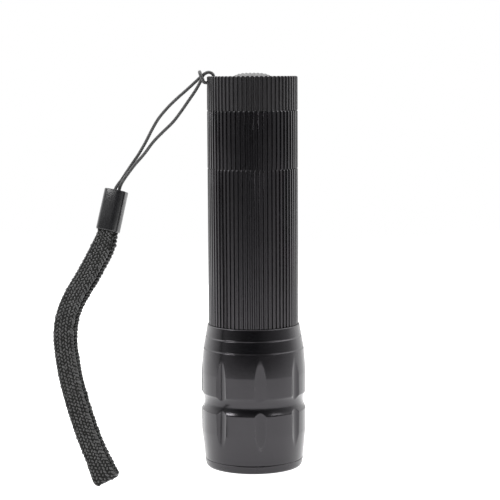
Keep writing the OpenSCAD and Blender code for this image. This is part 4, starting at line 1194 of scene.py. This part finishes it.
glow = calc(tree, "DIVIDE", TABLE_GLOW * TABLE_FALL, calc(tree, "ADD", TABLE_FALL, past_foot))
tree.links.new(glow, skin.inputs["Emission Strength"])
skin.inputs["Emission Color"].default_value = (1, 1, 1, 1)
below = add(tree, "ShaderNodeNewGeometry").outputs["Backfacing"]
nothing = add(tree, "ShaderNodeBsdfTransparent").outputs[0]
one_sided = add(tree, "ShaderNodeMixShader", {0: below, 1: skin.outputs[0], 2: nothing})
tree.links.new(one_sided.outputs[0], tree.nodes["Material Output"].inputs["Surface"])
floor_mesh.materials.append(floor_finish)
print("table radius", TABLE_R, "m")

# %% [markdown]
# ## Lamps
# Three area lamps give soft, broad highlights, as a studio's diffusers do: a large one above, and a flat
# one in front on either side. Point lamps would leave hard dots on the ribs.

# %% Lamps
# Each lamp: name, place and size in metres, and watts
LAMPS = [
    ("overhead", (-0.02, 0.03, 0.50), (0.40, 0.40), 0.5),
    ("front_left", (-0.323, -0.162, 0.285), (0.16, 0.06), 0.52),
    ("front_right", (0.30, -0.19, 0.293), (0.16, 0.06), 0.14),
]
LAMPS_AIM = (0, 0, 0.06)
for name, place, size, watts in LAMPS:
    lamp_data = bpy.data.lights.new(name, "AREA")
    lamp_data.shape = "RECTANGLE"
    lamp_data.size, lamp_data.size_y = size
    lamp_data.energy = watts
    lamp = put(name, lamp_data)
    lamp.location = place
    towards = Vector(LAMPS_AIM) - Vector(place)
    lamp.rotation_euler = towards.to_track_quat("-Z", "Y").to_euler()
print("lamps:", [name for name, *_ in LAMPS])

# %% [markdown]
# ## Room
# Black metal shows the room more than its own colour. So the room is painted as levels of light by
# direction: dark on the camera's side, bright behind on the left and right, darker straight behind, and
# brightest high up behind. That leaves the barrel's middle black and its edges light. A picture of a real
# room would do it too, but levels are easy to change. The camera itself sees plain white.

# %% Room
# Light from the camera's side to the wall behind: depth of the direction, and level
ROOM_LEVELS = [(-1.0, 0.035), (-0.875, 0.088), (-0.5, 0.34), (0.1, 1.0), (0.28, 1.6),
               (0.62, 2.0), (0.88, 1.5), (1.0, 0.5)]
# A faint window in front on the right: its direction, the span of closeness to it, and levels
WINDOW_SIDE, WINDOW_SPAN, WINDOW_LEVELS = (0.71, -0.71, 0.0), (0.7, 1.0), (0.0, 0.12)
# The far table is below the horizon, and the sky is high and behind: spans of height or depth, and levels
TABLE_SPAN, TABLE_LEVELS = (-0.16, -0.06), (1.05, 0.0)
SKY_SPAN, SKY_LEVELS, BEHIND_SPAN = (0.45, 0.80), (0.0, 3.2), (-0.3, 0.1)

world = bpy.data.worlds.new("room")
bpy.context.scene.world = world
world.use_nodes = True
tree = world.node_tree
tree.nodes.clear()
direction = add(tree, "ShaderNodeTexCoord").outputs["Generated"]
axes = add(tree, "ShaderNodeSeparateXYZ", {0: direction}).outputs
ramp = add(tree, "ShaderNodeValToRGB", {0: between(tree, axes[1], (-1.0, 1.0))})
while len(ramp.color_ramp.elements) < len(ROOM_LEVELS):
    ramp.color_ramp.elements.new(0.5)
for stop, (depth, level) in zip(ramp.color_ramp.elements, ROOM_LEVELS):
    stop.position = (depth + 1) / 2
    stop.color = (level, level, level, 1)
facing = add(tree, "ShaderNodeVectorMath", {0: direction, 1: WINDOW_SIDE}, operation="DOT_PRODUCT")
window = between(tree, facing.outputs["Value"], WINDOW_SPAN, WINDOW_LEVELS)
far_table = between(tree, axes[2], TABLE_SPAN, TABLE_LEVELS)
high = between(tree, axes[2], SKY_SPAN, SKY_LEVELS)
behind = between(tree, axes[1], BEHIND_SPAN)
sky = calc(tree, "MULTIPLY", high, behind)
level = calc(tree, "ADD", calc(tree, "ADD", ramp.outputs[0], window), calc(tree, "ADD", far_table, sky))
seen = add(tree, "ShaderNodeLightPath").outputs["Is Camera Ray"]
room = add(tree, "ShaderNodeBackground",
           {"Color": (1, 1, 1, 1), "Strength": calc(tree, "MAXIMUM", level, seen)})
add(tree, "ShaderNodeOutputWorld", {"Surface": room.outputs[0]})
print("room levels:", len(ROOM_LEVELS))

# %% [markdown]
# ## The end
# The last call brings the scene up to date.

# %% The end
bpy.context.view_layer.update()
